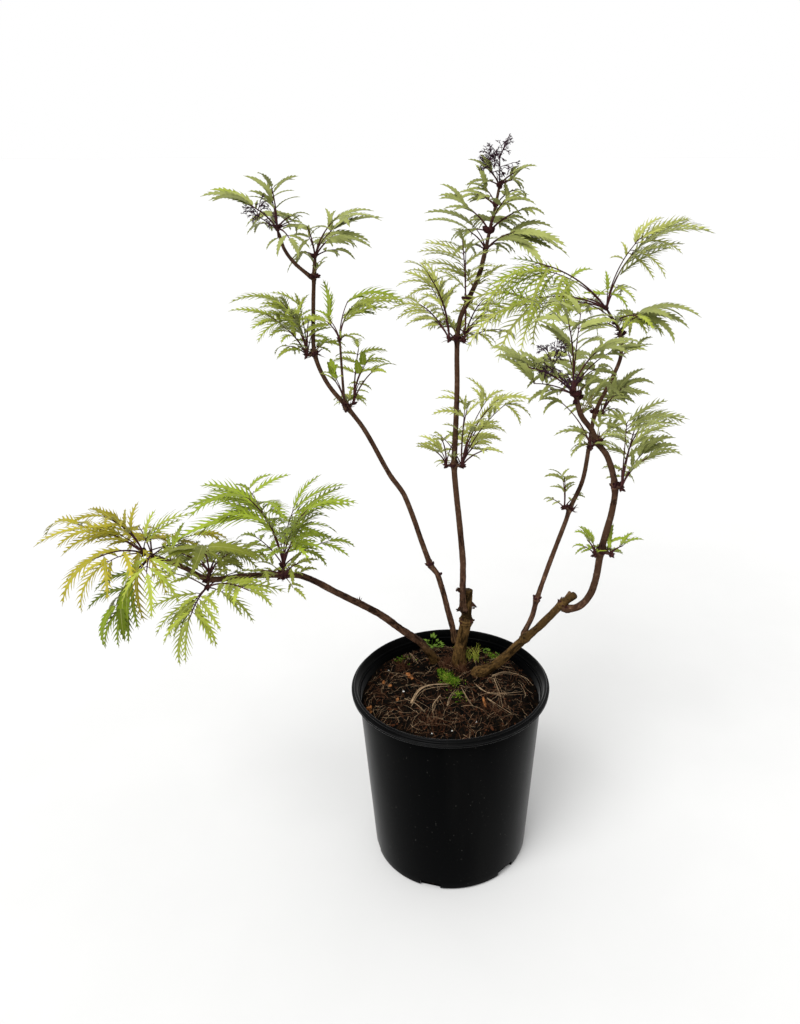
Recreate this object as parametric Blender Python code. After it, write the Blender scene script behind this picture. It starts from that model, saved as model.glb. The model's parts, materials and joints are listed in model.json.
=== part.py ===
"""A cut-leaved elderberry shrub, about 0.8 m tall, standing in a round nursery pot.

Metres, with +Z up. The origin is the centre of the pot's flat underside, and the shrub
is looked at from -Y. A heading is in degrees, anticlockwise from +X seen from above, so
270 comes straight at the viewer. A rise is in degrees above the horizontal.
"""

import math
from random import Random
from typing import NamedTuple

import bmesh
import bpy
from mathutils import Vector
from mathutils.bvhtree import BVHTree
from mathutils.geometry import interpolate_bezier

# Pot
POT_HEIGHT = 0.227
RIM_RADIUS = 0.113
LIP_RADIUS = 0.108
BAND_FOOT_Z = 0.213
BODY_TOP_RADIUS = 0.1045
BODY_FOOT_RADIUS = 0.0915
FOOT_ROUNDING = 0.004
WALL = 0.0018
POT_SEGMENTS = 48
SLOT_WIDTH = 0.024
SLOT_HEIGHT = 0.009
SLOT_DEPTH = 0.010
SLOT_HEADINGS = [255 + 60 * turn for turn in range(6)]

# Soil
SOIL_TOP_Z = 0.2117
SOIL_EDGE_Z = 0.204
SOIL_CROWN_RADIUS = 0.084

# Clearances
GAP = 0.0003
CLEARANCE = 0.0006

# Limbs
TRUNK_FOOT_Z = SOIL_TOP_Z + GAP
FLARE = 0.55
FLARE_HEIGHT = 0.012
JOINT_SWELL = 0.30
JOINT_LENGTH = 0.005
RING_STEP = 0.017

# Twigs
COLLAR_LENGTH = 0.005
COLLAR_RADIUS = 0.0019
STALK_RADIUS = 0.0015
STALK_TIP_RADIUS = 0.0011
STALK_ARCH = 36
STALK_STEPS = 5
TWIG_SIDES = 3
SHOOT_SIDES = 5

# Leaflets
FIRST_PAIR_AT = 0.48
LAST_PAIR_AT = 0.86
LEAFLET_WIDTH = 0.27
LEAFLET_THICKNESS = 0.022
LEAFLET_WAIST = 0.42
LEAFLET_ROOT = 0.0003
PAIR_STAGGER = 0.0014
LEAFLET_FALL = 76
LEAFLET_RISE = 0.7
LEAFLET_HANG = 24
LEAFLET_SPREAD = 50
STEEP_SPREAD = 30
LEAFLET_STEPS = 12
BASE_LEAFLET_SHARE = 0.72
TURNS = (0, 14, -14, 28, -28, 45, -45)

# Dried flower heads
HEAD_SPOKES = 6
HEAD_TWIG_RADIUS = 0.0007
HEAD_FORK = 40


class Limb(NamedTuple):
    """A trunk or bough: its route, its radii, the swollen points of the route and what it springs from."""

    name: str
    route: list
    base_radius: float
    tip_radius: float
    joints: tuple = ()
    parent: str = ""
    at: float = -1
    heading: float = 0
    rise: float = 0
    sides: int = 6


class Leaf(NamedTuple):
    """A compound leaf: the shoot's joint it grows from, its course, its leaflets and how they are held.

    Lift raises its leaflets above the rise that the rule gives them, and spread, where it
    isn't 0, is the angle that the side leaflets make with the stalk, seen from above.
    """

    joint: int
    heading: float
    rise: float
    length: float
    leaflet: float
    pairs: int
    lift: float = 0
    spread: float = 0


class Head(NamedTuple):
    """A dried flower head: the shoot's joint it grows from, its stalk and its width."""

    joint: int
    heading: float
    rise: float
    length: float
    width: float


class Mass(NamedTuple):
    """A mass of foliage: the limb and route point that carry it, its shoot, leaves and heads."""

    name: str
    limb: str
    at: float
    heading: float
    rise: float
    leaves: list
    shoot: tuple = ()
    heads: tuple = ()


LIMBS = [
    Limb(
        "trunk_centre",
        [(0.010, 0.052, TRUNK_FOOT_Z), (0.011, 0.050, 0.231), (0.018, 0.050, 0.274), (0.020, 0.050, 0.315)],
        0.0068,
        0.0056,
        joints=(2,),
        sides=8,
    ),
    Limb(
        "stem_centre",
        [
            (0.014, 0.042, 0.320), (0.014, 0.050, 0.354), (0.005, 0.062, 0.447), (0.004, 0.065, 0.464),
            (0.005, 0.066, 0.489), (0.007, 0.068, 0.549), (0.007, 0.070, 0.602), (0.010, 0.070, 0.623),
            (0.018, 0.070, 0.642), (0.029, 0.070, 0.667), (0.034, 0.068, 0.687),
        ],
        0.0037,
        0.0023,
        joints=(4, 7, 9),
        parent="trunk_centre",
        at=2.6,
        heading=235,
        rise=45,
    ),
    Limb(
        "stem_left",
        [
            (-0.018, 0.058, TRUNK_FOOT_Z), (-0.034, 0.036, 0.252), (-0.057, 0.022, 0.280),
            (-0.080, 0.010, 0.307), (-0.121, -0.012, 0.345), (-0.154, -0.030, 0.375),
            (-0.173, -0.040, 0.382), (-0.209, -0.048, 0.385), (-0.245, -0.055, 0.385),
            (-0.268, -0.055, 0.398), (-0.296, -0.050, 0.407),
        ],
        0.0046,
        0.0024,
        joints=(6, 8),
    ),
    Limb(
        "stem_rear",
        [
            (-0.001, 0.064, 0.271), (-0.015, 0.078, 0.320), (-0.024, 0.083, 0.332),
            (-0.053, 0.097, 0.413), (-0.070, 0.100, 0.439), (-0.097, 0.100, 0.493),
            (-0.115, 0.100, 0.519), (-0.136, 0.100, 0.547), (-0.148, 0.100, 0.580),
            (-0.146, 0.096, 0.625), (-0.142, 0.090, 0.663), (-0.140, 0.089, 0.678),
        ],
        0.0035,
        0.0020,
        joints=(3, 7, 9, 11),
        parent="trunk_centre",
        at=1.45,
        heading=130,
        rise=70,
    ),
    Limb(
        "stem_rear_arm",
        [(-0.160, 0.085, 0.677), (-0.169, 0.082, 0.691), (-0.173, 0.080, 0.706)],
        0.0020,
        0.0017,
        parent="stem_rear",
        at=11,
        heading=190,
        rise=35,
    ),
    Limb(
        "trunk_right",
        [(0.032, 0.033, TRUNK_FOOT_Z), (0.053, 0.025, 0.230), (0.072, 0.016, 0.257), (0.085, 0.008, 0.277)],
        0.0054,
        0.0046,
        sides=8,
    ),
    Limb(
        "stem_right_inner",
        [
            (0.093, 0.022, 0.297), (0.098, 0.030, 0.314), (0.114, 0.048, 0.355), (0.130, 0.058, 0.399),
            (0.134, 0.060, 0.413), (0.147, 0.065, 0.445), (0.153, 0.070, 0.487), (0.158, 0.075, 0.521),
            (0.174, 0.075, 0.561), (0.180, 0.072, 0.583), (0.176, 0.062, 0.608),
        ],
        0.0029,
        0.0020,
        joints=(2, 5, 8),
        parent="trunk_right",
        at=2.7,
        heading=70,
        rise=60,
    ),
    Limb(
        "stem_right_outer_low",
        [(0.099, -0.006, 0.301), (0.120, -0.022, 0.338), (0.131, -0.029, 0.352)],
        0.0044,
        0.0040,
        joints=(2,),
        parent="trunk_right",
    ),
    Limb(
        "stem_right_outer",
        [
            (0.135, -0.034, 0.341), (0.144, -0.042, 0.358), (0.148, -0.050, 0.382),
            (0.150, -0.056, 0.417), (0.157, -0.060, 0.463), (0.158, -0.059, 0.488),
            (0.150, -0.053, 0.515), (0.139, -0.051, 0.530), (0.133, -0.052, 0.542),
            (0.122, -0.056, 0.557), (0.116, -0.060, 0.573),
        ],
        0.0039,
        0.0025,
        joints=(4, 6, 8),
        parent="stem_right_outer_low",
        at=2,
        heading=330,
        rise=-10,
    ),
]

MASSES = [
    Mass(
        "foliage_left_tip", "stem_left", -1, 0, 0,
        [
            Leaf(1, 219, 58, 0.058, 0.046, 3),
            Leaf(1, 245, 20, 0.062, 0.056, 2, lift=-12),
            Leaf(1, 160, 14, 0.078, 0.070, 2, spread=32),
            Leaf(0, 285, 12, 0.064, 0.052, 2, lift=-22),
            Leaf(0, 211, -48, 0.060, 0.056, 3),
            Leaf(0, 110, -2, 0.066, 0.052, 2),
        ],
        shoot=((185, 20, 0.008),),
    ),
    Mass(
        "foliage_left_inner_upper", "stem_left", 8, 250, 80,
        [
            Leaf(0, 280, 62, 0.046, 0.066, 1, lift=-18, spread=84),
            Leaf(0, 200, 44, 0.040, 0.050, 1, lift=-10, spread=40),
            Leaf(0, 90, -4, 0.064, 0.052, 3),
        ],
    ),
    Mass(
        "foliage_left_inner_lower", "stem_left", 8, 275, -45,
        [
            Leaf(0, 262, -12, 0.046, 0.052, 3, lift=-10),
            Leaf(0, 322, 16, 0.070, 0.034, 3, lift=10),
        ],
    ),
    Mass(
        "foliage_left_middle_upper", "stem_left", 6, 90, 75,
        [
            Leaf(0, 232, 68, 0.094, 0.080, 3, lift=-4, spread=70),
            Leaf(0, 345, 66, 0.070, 0.064, 3, spread=62),
            Leaf(0, 300, 48, 0.050, 0.040, 2),
            Leaf(0, 80, 18, 0.066, 0.052, 3),
        ],
    ),
    Mass(
        "foliage_left_middle_front", "stem_left", 6, 280, 15,
        [Leaf(0, 320, 44, 0.034, 0.028, 1, lift=12), Leaf(0, 225, 32, 0.032, 0.028, 1)],
    ),
    Mass(
        "foliage_rear_middle_left", "stem_rear", 7, 225, 40,
        [
            Leaf(0, 242, 62, 0.048, 0.022, 1, lift=20),
            Leaf(2, 338, 66, 0.038, 0.068, 2, lift=-6, spread=30),
            Leaf(2, 168, 56, 0.022, 0.036, 1),
        ],
        shoot=((240, 70, 0.008), (265, 84, 0.073)),
    ),
    Mass(
        "foliage_rear_middle_right", "stem_rear", 7, 25, 40,
        [Leaf(0, 18, 54, 0.046, 0.028, 1, lift=5), Leaf(0, 88, 40, 0.076, 0.044, 3)],
    ),
    Mass(
        "foliage_rear_upper", "stem_rear", 9, 205, 30,
        [
            Leaf(0, 210, 68, 0.064, 0.058, 3, lift=-2, spread=56),
            Leaf(0, 165, 48, 0.058, 0.050, 3),
            Leaf(0, 290, 66, 0.044, 0.036, 2),
            Leaf(0, 110, 34, 0.060, 0.046, 2),
        ],
    ),
    Mass(
        "foliage_rear_tip_left", "stem_rear_arm", -1, 0, 0,
        [
            Leaf(0, 200, 42, 0.036, 0.052, 1, lift=8, spread=22),
            Leaf(0, 262, 80, 0.040, 0.038, 2, spread=84),
            Leaf(0, 0, 40, 0.020, 0.020, 1),
            Leaf(0, 105, 12, 0.060, 0.044, 2),
            Leaf(0, 300, -10, 0.034, 0.028, 1),
        ],
        heads=(Head(0, 205, 34, 0.024, 0.024),),
    ),
    Mass(
        "foliage_rear_tip_right", "stem_rear", -1, 0, 0,
        [
            Leaf(0, 262, 56, 0.038, 0.032, 1, lift=-8, spread=84),
            Leaf(0, 340, 56, 0.046, 0.056, 1, lift=2, spread=42),
            Leaf(0, 70, 16, 0.060, 0.044, 3),
        ],
    ),
    Mass(
        "foliage_centre_low_left", "stem_centre", 4, 200, 30,
        [Leaf(0, 215, 54, 0.024, 0.032, 1, lift=14), Leaf(0, 240, 74, 0.036, 0.022, 1, lift=14)],
    ),
    Mass(
        "foliage_centre_low_right", "stem_centre", 4, 335, 30,
        [
            Leaf(0, 290, 78, 0.070, 0.044, 2, lift=2, spread=84),
            Leaf(0, 345, 64, 0.086, 0.042, 3, lift=-4),
            Leaf(0, 335, 38, 0.038, 0.022, 1, lift=10),
            Leaf(0, 70, 24, 0.070, 0.046, 3),
        ],
    ),
    Mass(
        "foliage_centre_middle_left", "stem_centre", 7, 200, 35,
        [
            Leaf(0, 222, 68, 0.074, 0.042, 3, lift=4, spread=76),
            Leaf(0, 165, 70, 0.060, 0.028, 1),
            Leaf(0, 125, 26, 0.066, 0.044, 3),
        ],
    ),
    Mass(
        "foliage_centre_middle_right", "stem_centre", 7, 320, 35,
        [
            Leaf(0, 321, 46, 0.034, 0.018, 1, lift=10),
            Leaf(1, 258, 80, 0.096, 0.048, 4, lift=-4, spread=74),
            Leaf(1, 300, 80, 0.060, 0.028, 1),
            Leaf(0, 70, 28, 0.066, 0.042, 2),
        ],
        shoot=((335, 75, 0.008),),
    ),
    Mass(
        "foliage_centre_top", "stem_centre", -1, 0, 0,
        [
            Leaf(0, 215, 44, 0.026, 0.060, 0, lift=20),
            Leaf(0, 345, 34, 0.030, 0.062, 2, lift=-10, spread=24),
            Leaf(1, 200, 46, 0.030, 0.036, 1, lift=12, spread=34),
            Leaf(1, 310, 56, 0.036, 0.028, 2, lift=10),
            Leaf(1, 12, 30, 0.044, 0.022, 1),
            Leaf(1, 82, 10, 0.054, 0.042, 3),
            Leaf(2, 190, 36, 0.016, 0.026, 1, lift=10),
            Leaf(3, 195, 52, 0.018, 0.026, 1, lift=30),
            Leaf(3, 345, 40, 0.018, 0.026, 1, lift=16),
        ],
        shoot=((315, 76, 0.018), (335, 76, 0.025), (330, 78, 0.019)),
        heads=(Head(3, 190, 58, 0.022, 0.018), Head(3, 110, 88, 0.026, 0.028)),
    ),
    Mass(
        "foliage_right_inner_low", "stem_right_inner", 5, 215, 50,
        [Leaf(0, 250, 78, 0.040, 0.020, 2, lift=10, spread=84)],
    ),
    Mass(
        "foliage_right_inner_middle", "stem_right_inner", 8, 20, 20,
        [Leaf(0, 10, 50, 0.038, 0.034, 3, lift=10), Leaf(0, 65, 20, 0.060, 0.042, 3)],
    ),
    Mass(
        "foliage_right_inner_top", "stem_right_inner", -1, 0, 0,
        [
            Leaf(0, 330, 46, 0.030, 0.062, 1, lift=4, spread=34),
            Leaf(0, 60, 10, 0.056, 0.046, 3),
            Leaf(2, 335, 66, 0.066, 0.076, 3, lift=10, spread=30),
            Leaf(2, 197, 32, 0.090, 0.100, 3, lift=-24, spread=50),
            Leaf(2, 176, 10, 0.074, 0.058, 2, lift=-6),
            Leaf(1, 290, 18, 0.044, 0.030, 1),
            Leaf(2, 115, 0, 0.062, 0.050, 2),
        ],
        shoot=((212, 50, 0.012), (220, 46, 0.022)),
    ),
    Mass(
        "foliage_right_outer_top", "stem_right_outer", -1, 0, 0,
        [
            Leaf(1, 240, 74, 0.066, 0.062, 2, lift=8, spread=64),
            Leaf(1, 350, 60, 0.046, 0.044, 1, lift=6, spread=32),
            Leaf(0, 205, 32, 0.060, 0.046, 2, lift=34, spread=30),
            Leaf(0, 90, 24, 0.066, 0.046, 2),
        ],
        shoot=((190, 65, 0.006),),
        heads=(Head(1, 205, 42, 0.034, 0.040),),
    ),
    Mass(
        "foliage_right_outer_neck", "stem_right_outer", 8, 200, 30,
        [Leaf(0, 190, 58, 0.016, 0.030, 1, lift=-4)],
    ),
    Mass(
        "foliage_right_outer_side", "stem_right_outer", 6, 300, 40,
        [
            Leaf(0, 285, 72, 0.064, 0.054, 3, lift=8, spread=76),
            Leaf(0, 315, 56, 0.044, 0.038, 2, lift=8),
            Leaf(0, 70, 34, 0.074, 0.046, 3),
        ],
    ),
    Mass(
        "foliage_right_outer_low_left", "stem_right_outer", 4, 230, 40,
        [Leaf(0, 205, 60, 0.020, 0.024, 1, lift=30)],
    ),
    Mass(
        "foliage_right_outer_low_right", "stem_right_outer", 4, 330, 40,
        [Leaf(0, 340, 44, 0.016, 0.026, 1, lift=26)],
    ),
]


def direction(heading, rise):
    """The unit vector with this heading and rise."""
    heading, rise = math.radians(heading), math.radians(rise)
    return Vector((math.cos(rise) * math.cos(heading), math.cos(rise) * math.sin(heading), math.sin(rise)))


def arch(start, heading, rise, length, fall, steps):
    """Points along an arch that falls evenly by this many degrees about its mean rise."""
    points = [Vector(start)]
    for step in range(steps):
        here = rise + fall * (0.5 - (step + 0.5) / steps)
        points.append(points[-1] + direction(heading, here) * (length / steps))
    return points


def smooth_line(points, step):
    """A smooth line through the points, and where on it each point is."""
    points = [Vector(point) for point in points]
    last = len(points) - 1
    tangents = [(points[min(i + 1, last)] - points[max(i - 1, 0)]).normalized() for i in range(last + 1)]
    line, marks = [points[0]], [0]
    for i in range(last):
        span = (points[i + 1] - points[i]).length
        count = max(2, round(span / step) + 1)
        handles = tangents[i] * (span / 3), tangents[i + 1] * (span / 3)
        start, end = points[i], points[i + 1]
        line += interpolate_bezier(start, start + handles[0], end - handles[1], end, count)[1:]
        marks.append(len(line) - 1)
    return line, marks


def lengths_along(line):
    """How far along the line each of its points is."""
    travelled = [0.0]
    for a, b in zip(line, line[1:]):
        travelled.append(travelled[-1] + (b - a).length)
    return travelled


def tube(line, radii, sides, start_facing=None):
    """A closed tube along the line, as points and faces, with a flat cap at each end."""
    last = len(line) - 1
    points, faces, across = [], [], None
    for i, centre in enumerate(line):
        along = (line[min(i + 1, last)] - line[max(i - 1, 0)]).normalized()
        if i == 0 and start_facing:
            along = start_facing
        across = (across or along.orthogonal()) - along * (across or along.orthogonal()).dot(along)
        across.normalize()
        upright = along.cross(across)
        for side in range(sides):
            angle = 2 * math.pi * side / sides
            points.append(centre + (across * math.cos(angle) + upright * math.sin(angle)) * radii[i])
    for i in range(last):
        for side in range(sides):
            a, b = i * sides + side, i * sides + (side + 1) % sides
            faces.append((a, b, b + sides, a + sides))
    faces.append(tuple(reversed(range(sides))))
    faces.append(tuple(range(last * sides, (last + 1) * sides)))
    return points, faces


def leaflet_blade(base, heading, rise, length, roll, spare=0.0):
    """A bent lozenge of eight faces, wide, thin and sunk past the stalk that carries it."""
    course = arch(base, heading, rise, length, LEAFLET_FALL, LEAFLET_STEPS)
    middle = round(LEAFLET_STEPS * LEAFLET_WAIST)
    waist = course[middle]
    along = (course[middle + 1] - course[middle - 1]).normalized()
    side = Vector((-math.sin(math.radians(heading)), math.cos(math.radians(heading)), 0))
    up = along.cross(side)
    side, up = (
        side * math.cos(math.radians(roll)) + up * math.sin(math.radians(roll)),
        up * math.cos(math.radians(roll)) - side * math.sin(math.radians(roll)),
    )
    half_width = length * LEAFLET_WIDTH / 2 + spare
    half_depth = length * LEAFLET_THICKNESS / 2 + spare
    root = base - (course[1] - course[0]).normalized() * LEAFLET_ROOT
    tip = course[-1] + (course[-1] - course[-2]).normalized() * spare
    reaches = (side * half_width, up * half_depth, -side * half_width, -up * half_depth)
    points = [root, *(waist + reach for reach in reaches), tip]
    faces = []
    for i in range(4):
        a, b = 1 + i, 1 + (i + 1) % 4
        faces += [(0, b, a), (5, a, b)]
    return points, faces


def is_clear(shape, obstacles):
    """Whether the shape touches none of the search trees."""
    tree = BVHTree.FromPolygons(*shape)
    return not any(tree.overlap(obstacle) for obstacle in obstacles)


def tree_of(shapes):
    """One search tree for the faces of all the shapes."""
    points, faces = [], []
    for shape_points, shape_faces in shapes:
        faces += [tuple(index + len(points) for index in face) for face in shape_faces]
        points += shape_points
    return BVHTree.FromPolygons(points, faces)


class GrownLimb:
    """A limb's centre line and radii, worked out from its route."""

    def __init__(self, limb, grown):
        route, self.facing = [Vector(point) for point in limb.route], None
        if not limb.parent:
            self.facing = Vector((0, 0, 1))
        elif limb.at < 0:
            parent = grown[limb.parent]
            self.facing = parent.tangent(-1)
            route.insert(0, parent.line[-1] + self.facing * GAP)
        else:
            self.facing = direction(limb.heading, limb.rise)
            route.insert(0, grown[limb.parent].perch(limb.at, self.facing, limb.base_radius))
        self.line, self.marks = smooth_line(route, RING_STEP)
        travelled = lengths_along(self.line)
        self.radii = []
        for here in travelled:
            radius = limb.base_radius + (limb.tip_radius - limb.base_radius) * here / travelled[-1]
            if not limb.parent:
                radius *= 1 + FLARE * math.exp(-here / FLARE_HEIGHT)
            for joint in limb.joints:
                away = (here - travelled[self.marks[joint]]) / JOINT_LENGTH
                radius *= 1 + JOINT_SWELL * math.exp(-away * away)
            self.radii.append(radius)
        self.shape = tube(self.line, self.radii, limb.sides, self.facing)

    def place(self, at):
        """The index, along the line, of a point on the route, which may lie between two of its own."""
        whole = min(int(at), len(self.marks) - 2)
        return round(self.marks[whole] + (at - whole) * (self.marks[whole + 1] - self.marks[whole]))

    def tangent(self, index):
        if index < 0:
            return (self.line[-1] - self.line[-2]).normalized()
        last = len(self.line) - 1
        return (self.line[min(index + 1, last)] - self.line[max(index - 1, 0)]).normalized()

    def perch(self, at, facing, radius):
        """The start, a hair clear of the bark, of something round that leaves this way."""
        index = self.place(at)
        along = self.tangent(index)
        outward = (facing - along * facing.dot(along)).normalized()
        lean = abs(facing.dot(along))
        return self.line[index] + outward * (self.radii[index] + radius * lean + GAP)


def outward_from(limb, at, heading, rise):
    """The direction nearest to the one asked for that leaves the limb squarely."""
    along = limb.tangent(limb.place(at))
    wanted = direction(heading, rise)
    return (wanted - along * wanted.dot(along)).normalized()


def grow_shoot(mass, limb):
    """The mass's own stem: its shape, and the joints that its leaves grow from."""
    if mass.at < 0:
        facing = limb.tangent(-1)
        start, radius = limb.line[-1] + facing * GAP, limb.radii[-1] * 0.95
    else:
        facing = outward_from(limb, mass.at, mass.heading, mass.rise)
        start, radius = limb.perch(mass.at, facing, COLLAR_RADIUS), COLLAR_RADIUS
    line = [start, start + facing * COLLAR_LENGTH]
    for heading, rise, length in mass.shoot:
        line.append(line[-1] + direction(heading, rise) * length)
    joints = line[1:]
    line.append(line[-1] + (line[-1] - line[-2]).normalized() * radius)
    radii = [radius * (1 - 0.25 * i / (len(line) - 1)) for i in range(len(line))]
    return tube(line, radii, SHOOT_SIDES, facing), joints


def stalk(course, spare=0.0):
    """The shape of a leaf's stalk and rib, tapering along their course."""
    last = len(course) - 1
    radii = [STALK_RADIUS + (STALK_TIP_RADIUS - STALK_RADIUS) * i / last + spare for i in range(last + 1)]
    return tube(course, radii, TWIG_SIDES)


def point_on(course, share):
    """The point this share of the way along an evenly stepped course, and the step it is on."""
    place = share * (len(course) - 1)
    step = min(int(place), len(course) - 2)
    return course[step].lerp(course[step + 1], place - step), step


def grow_leaf(leaf, start, chance, obstacles, kin):
    """A compound leaf's shapes. A leaf or leaflet with no room to grow is turned, or left out."""
    for turn in TURNS:
        heading = leaf.heading + turn
        course = arch(start, heading, leaf.rise, leaf.length, STALK_ARCH, STALK_STEPS)
        free = is_clear(stalk(course, CLEARANCE), obstacles)
        if free and is_clear(stalk(course[2:], CLEARANCE), kin):
            break
    else:
        return []
    shapes = [stalk(course)]
    places = [(1.0, 0)]
    for pair in range(leaf.pairs):
        share = LAST_PAIR_AT - (LAST_PAIR_AT - FIRST_PAIR_AT) * pair / max(leaf.pairs - 1, 1)
        stagger = PAIR_STAGGER / leaf.length
        places += [(share, 1), (share - stagger, -1)]
    for share, hand in places:
        base, step = point_on(course, share)
        local_rise = leaf.rise + STALK_ARCH * (0.5 - (step + 0.5) / STALK_STEPS)
        spread = hand * (leaf.spread or LEAFLET_SPREAD + STEEP_SPREAD * abs(local_rise) / 90)
        rise = LEAFLET_RISE * local_rise - LEAFLET_HANG + leaf.lift + chance.uniform(-10, 10)
        size = BASE_LEAFLET_SHARE + (1 - BASE_LEAFLET_SHARE) * share
        length = leaf.leaflet * size * chance.uniform(0.92, 1.06)
        roll = chance.uniform(-22, 22) - 12 * hand
        away = heading + spread + chance.uniform(-8, 8)
        for turn in TURNS[:5]:
            if is_clear(leaflet_blade(base, away + turn, rise, length, roll, CLEARANCE), obstacles + kin):
                shapes.append(leaflet_blade(base, away + turn, rise, length, roll))
                break
    return shapes


def grow_head(head, start, chance, obstacles):
    """A dried flower head: a stalk that breaks into forked bare twigs."""
    course = arch(start, head.heading, head.rise, head.length, 10, 8)
    stem = tube(course, [HEAD_TWIG_RADIUS * 1.5] * len(course), TWIG_SIDES)
    if not is_clear(stem, obstacles):
        return []
    shapes = [stem]
    for spoke in range(HEAD_SPOKES):
        heading = 360 * spoke / HEAD_SPOKES + chance.uniform(-15, 15)
        rise = 62 - 52 * spoke / (HEAD_SPOKES - 1) + chance.uniform(-6, 6)
        length = head.width / 2 * chance.uniform(0.85, 1.1)
        start_share = 1 - 0.35 * spoke / (HEAD_SPOKES - 1)
        twig = arch(point_on(course, start_share)[0], heading, rise, length, 25, 2)
        fork = arch(twig[1], heading + HEAD_FORK, rise + 10, length * 0.5, 0, 1)
        for fine in (twig, fork):
            shape = tube(fine, [HEAD_TWIG_RADIUS] * len(fine), TWIG_SIDES)
            if is_clear(shape, obstacles):
                shapes.append(shape)
    return shapes


def grow_mass(mass, shoot, joints, obstacles):
    """Every shape of a mass, its stem first."""
    chance = Random(mass.name)
    shapes, kin = [shoot], []
    for leaf in mass.leaves:
        grown = grow_leaf(leaf, joints[leaf.joint], chance, obstacles, kin)
        kin.append(tree_of(grown))
        shapes += grown
    for head in mass.heads:
        shapes += grow_head(head, joints[head.joint], chance, obstacles)
    return shapes


def plain_material(name, colour, roughness):
    material = bpy.data.materials.new(name)
    material.use_nodes = True
    surface = material.node_tree.nodes["Principled BSDF"]
    surface.inputs["Base Color"].default_value = (*colour, 1)
    surface.inputs["Roughness"].default_value = roughness
    surface.inputs["Metallic"].default_value = 0
    return material


def mesh_object(name, shape, material, holder=None):
    """An object from points and faces, its faces turned outward."""
    shell = bmesh.new()
    corners = [shell.verts.new(point) for point in shape[0]]
    for face in shape[1]:
        shell.faces.new([corners[index] for index in face])
    bmesh.ops.recalc_face_normals(shell, faces=shell.faces)
    mesh = bpy.data.meshes.new(name)
    shell.to_mesh(mesh)
    shell.free()
    mesh.materials.append(material)
    thing = bpy.data.objects.new(name, mesh)
    bpy.context.scene.collection.objects.link(thing)
    thing.parent = holder
    return thing


def apply_boolean(thing, operation, others):
    """Joins or cuts the object by a collection of others, which are then removed."""
    group = bpy.data.collections.new(thing.name + "_pieces")
    bpy.context.scene.collection.children.link(group)
    for other in others:
        for owner in list(other.users_collection):
            owner.objects.unlink(other)
        group.objects.link(other)
    modifier = thing.modifiers.new(operation.title(), "BOOLEAN")
    modifier.operation = operation
    modifier.operand_type = "COLLECTION"
    modifier.collection = group
    modifier.solver = "EXACT"
    graph = bpy.context.evaluated_depsgraph_get()
    mesh = bpy.data.meshes.new_from_object(thing.evaluated_get(graph))
    thing.modifiers.clear()
    thing.data = mesh
    for other in others:
        bpy.data.objects.remove(other)
    bpy.data.collections.remove(group)


def keep_outer_skin(mesh):
    """Drops loose scraps and the skins of sealed hollows, which leaves the largest shell."""
    shell = bmesh.new()
    shell.from_mesh(mesh)
    left, islands = set(shell.faces), []
    while left:
        island, waiting = set(), [left.pop()]
        while waiting:
            face = waiting.pop()
            island.add(face)
            for edge in face.edges:
                for neighbour in edge.link_faces:
                    if neighbour in left:
                        left.remove(neighbour)
                        waiting.append(neighbour)
        islands.append(island)
    islands.sort(key=len)
    for island in islands[:-1]:
        bmesh.ops.delete(shell, geom=list(island), context="FACES")
    shell.to_mesh(mesh)
    shell.free()


def turned(profile, segments):
    """A closed solid of revolution, as points and faces, whose profile starts and ends on the axis."""
    points, faces = [Vector((0, 0, profile[0][1]))], []
    for radius, height in profile[1:-1]:
        for segment in range(segments):
            angle = 2 * math.pi * segment / segments
            points.append(Vector((radius * math.cos(angle), radius * math.sin(angle), height)))
    points.append(Vector((0, 0, profile[-1][1])))
    rows = len(profile) - 2
    last_row = 1 + (rows - 1) * segments
    for segment in range(segments):
        after = (segment + 1) % segments
        faces.append((0, 1 + segment, 1 + after))
        for row in range(rows - 1):
            a, b = 1 + row * segments + segment, 1 + row * segments + after
            faces.append((a, a + segments, b + segments, b))
        faces.append((len(points) - 1, last_row + after, last_row + segment))
    return points, faces


def wall_radius(height):
    """The outside radius of the pot's tapering body at this height."""
    return BODY_FOOT_RADIUS + (BODY_TOP_RADIUS - BODY_FOOT_RADIUS) * height / BAND_FOOT_Z


def rounded_foot():
    """The quarter round between the pot's underside and its wall, from below."""
    middle = BODY_FOOT_RADIUS - FOOT_ROUNDING
    turns = [math.radians(30 * step) for step in range(4)]
    return [(middle + FOOT_ROUNDING * math.sin(a), FOOT_ROUNDING * (1 - math.cos(a))) for a in turns]


def pot_profile():
    """The pot's half section, from the middle of its underside, round the rim and back inside."""
    band = RIM_RADIUS - LIP_RADIUS
    lip = [math.radians(30 * step) for step in range(4)]
    rolled = [(LIP_RADIUS + band * math.cos(a), POT_HEIGHT - band + band * math.sin(a)) for a in lip]
    inner_top = BODY_TOP_RADIUS - WALL
    return [
        (0, 0),
        *rounded_foot(),
        (BODY_TOP_RADIUS, BAND_FOOT_Z),
        (RIM_RADIUS - 0.002, BAND_FOOT_Z),
        (RIM_RADIUS, BAND_FOOT_Z + 0.0025),
        *rolled,
        (LIP_RADIUS - WALL, POT_HEIGHT - 0.001),
        (inner_top + 0.0016, BAND_FOOT_Z + 0.006),
        (inner_top, BAND_FOOT_Z + 0.004),
        (wall_radius(WALL) - WALL - 0.002, WALL),
        (0, WALL),
    ]


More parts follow.
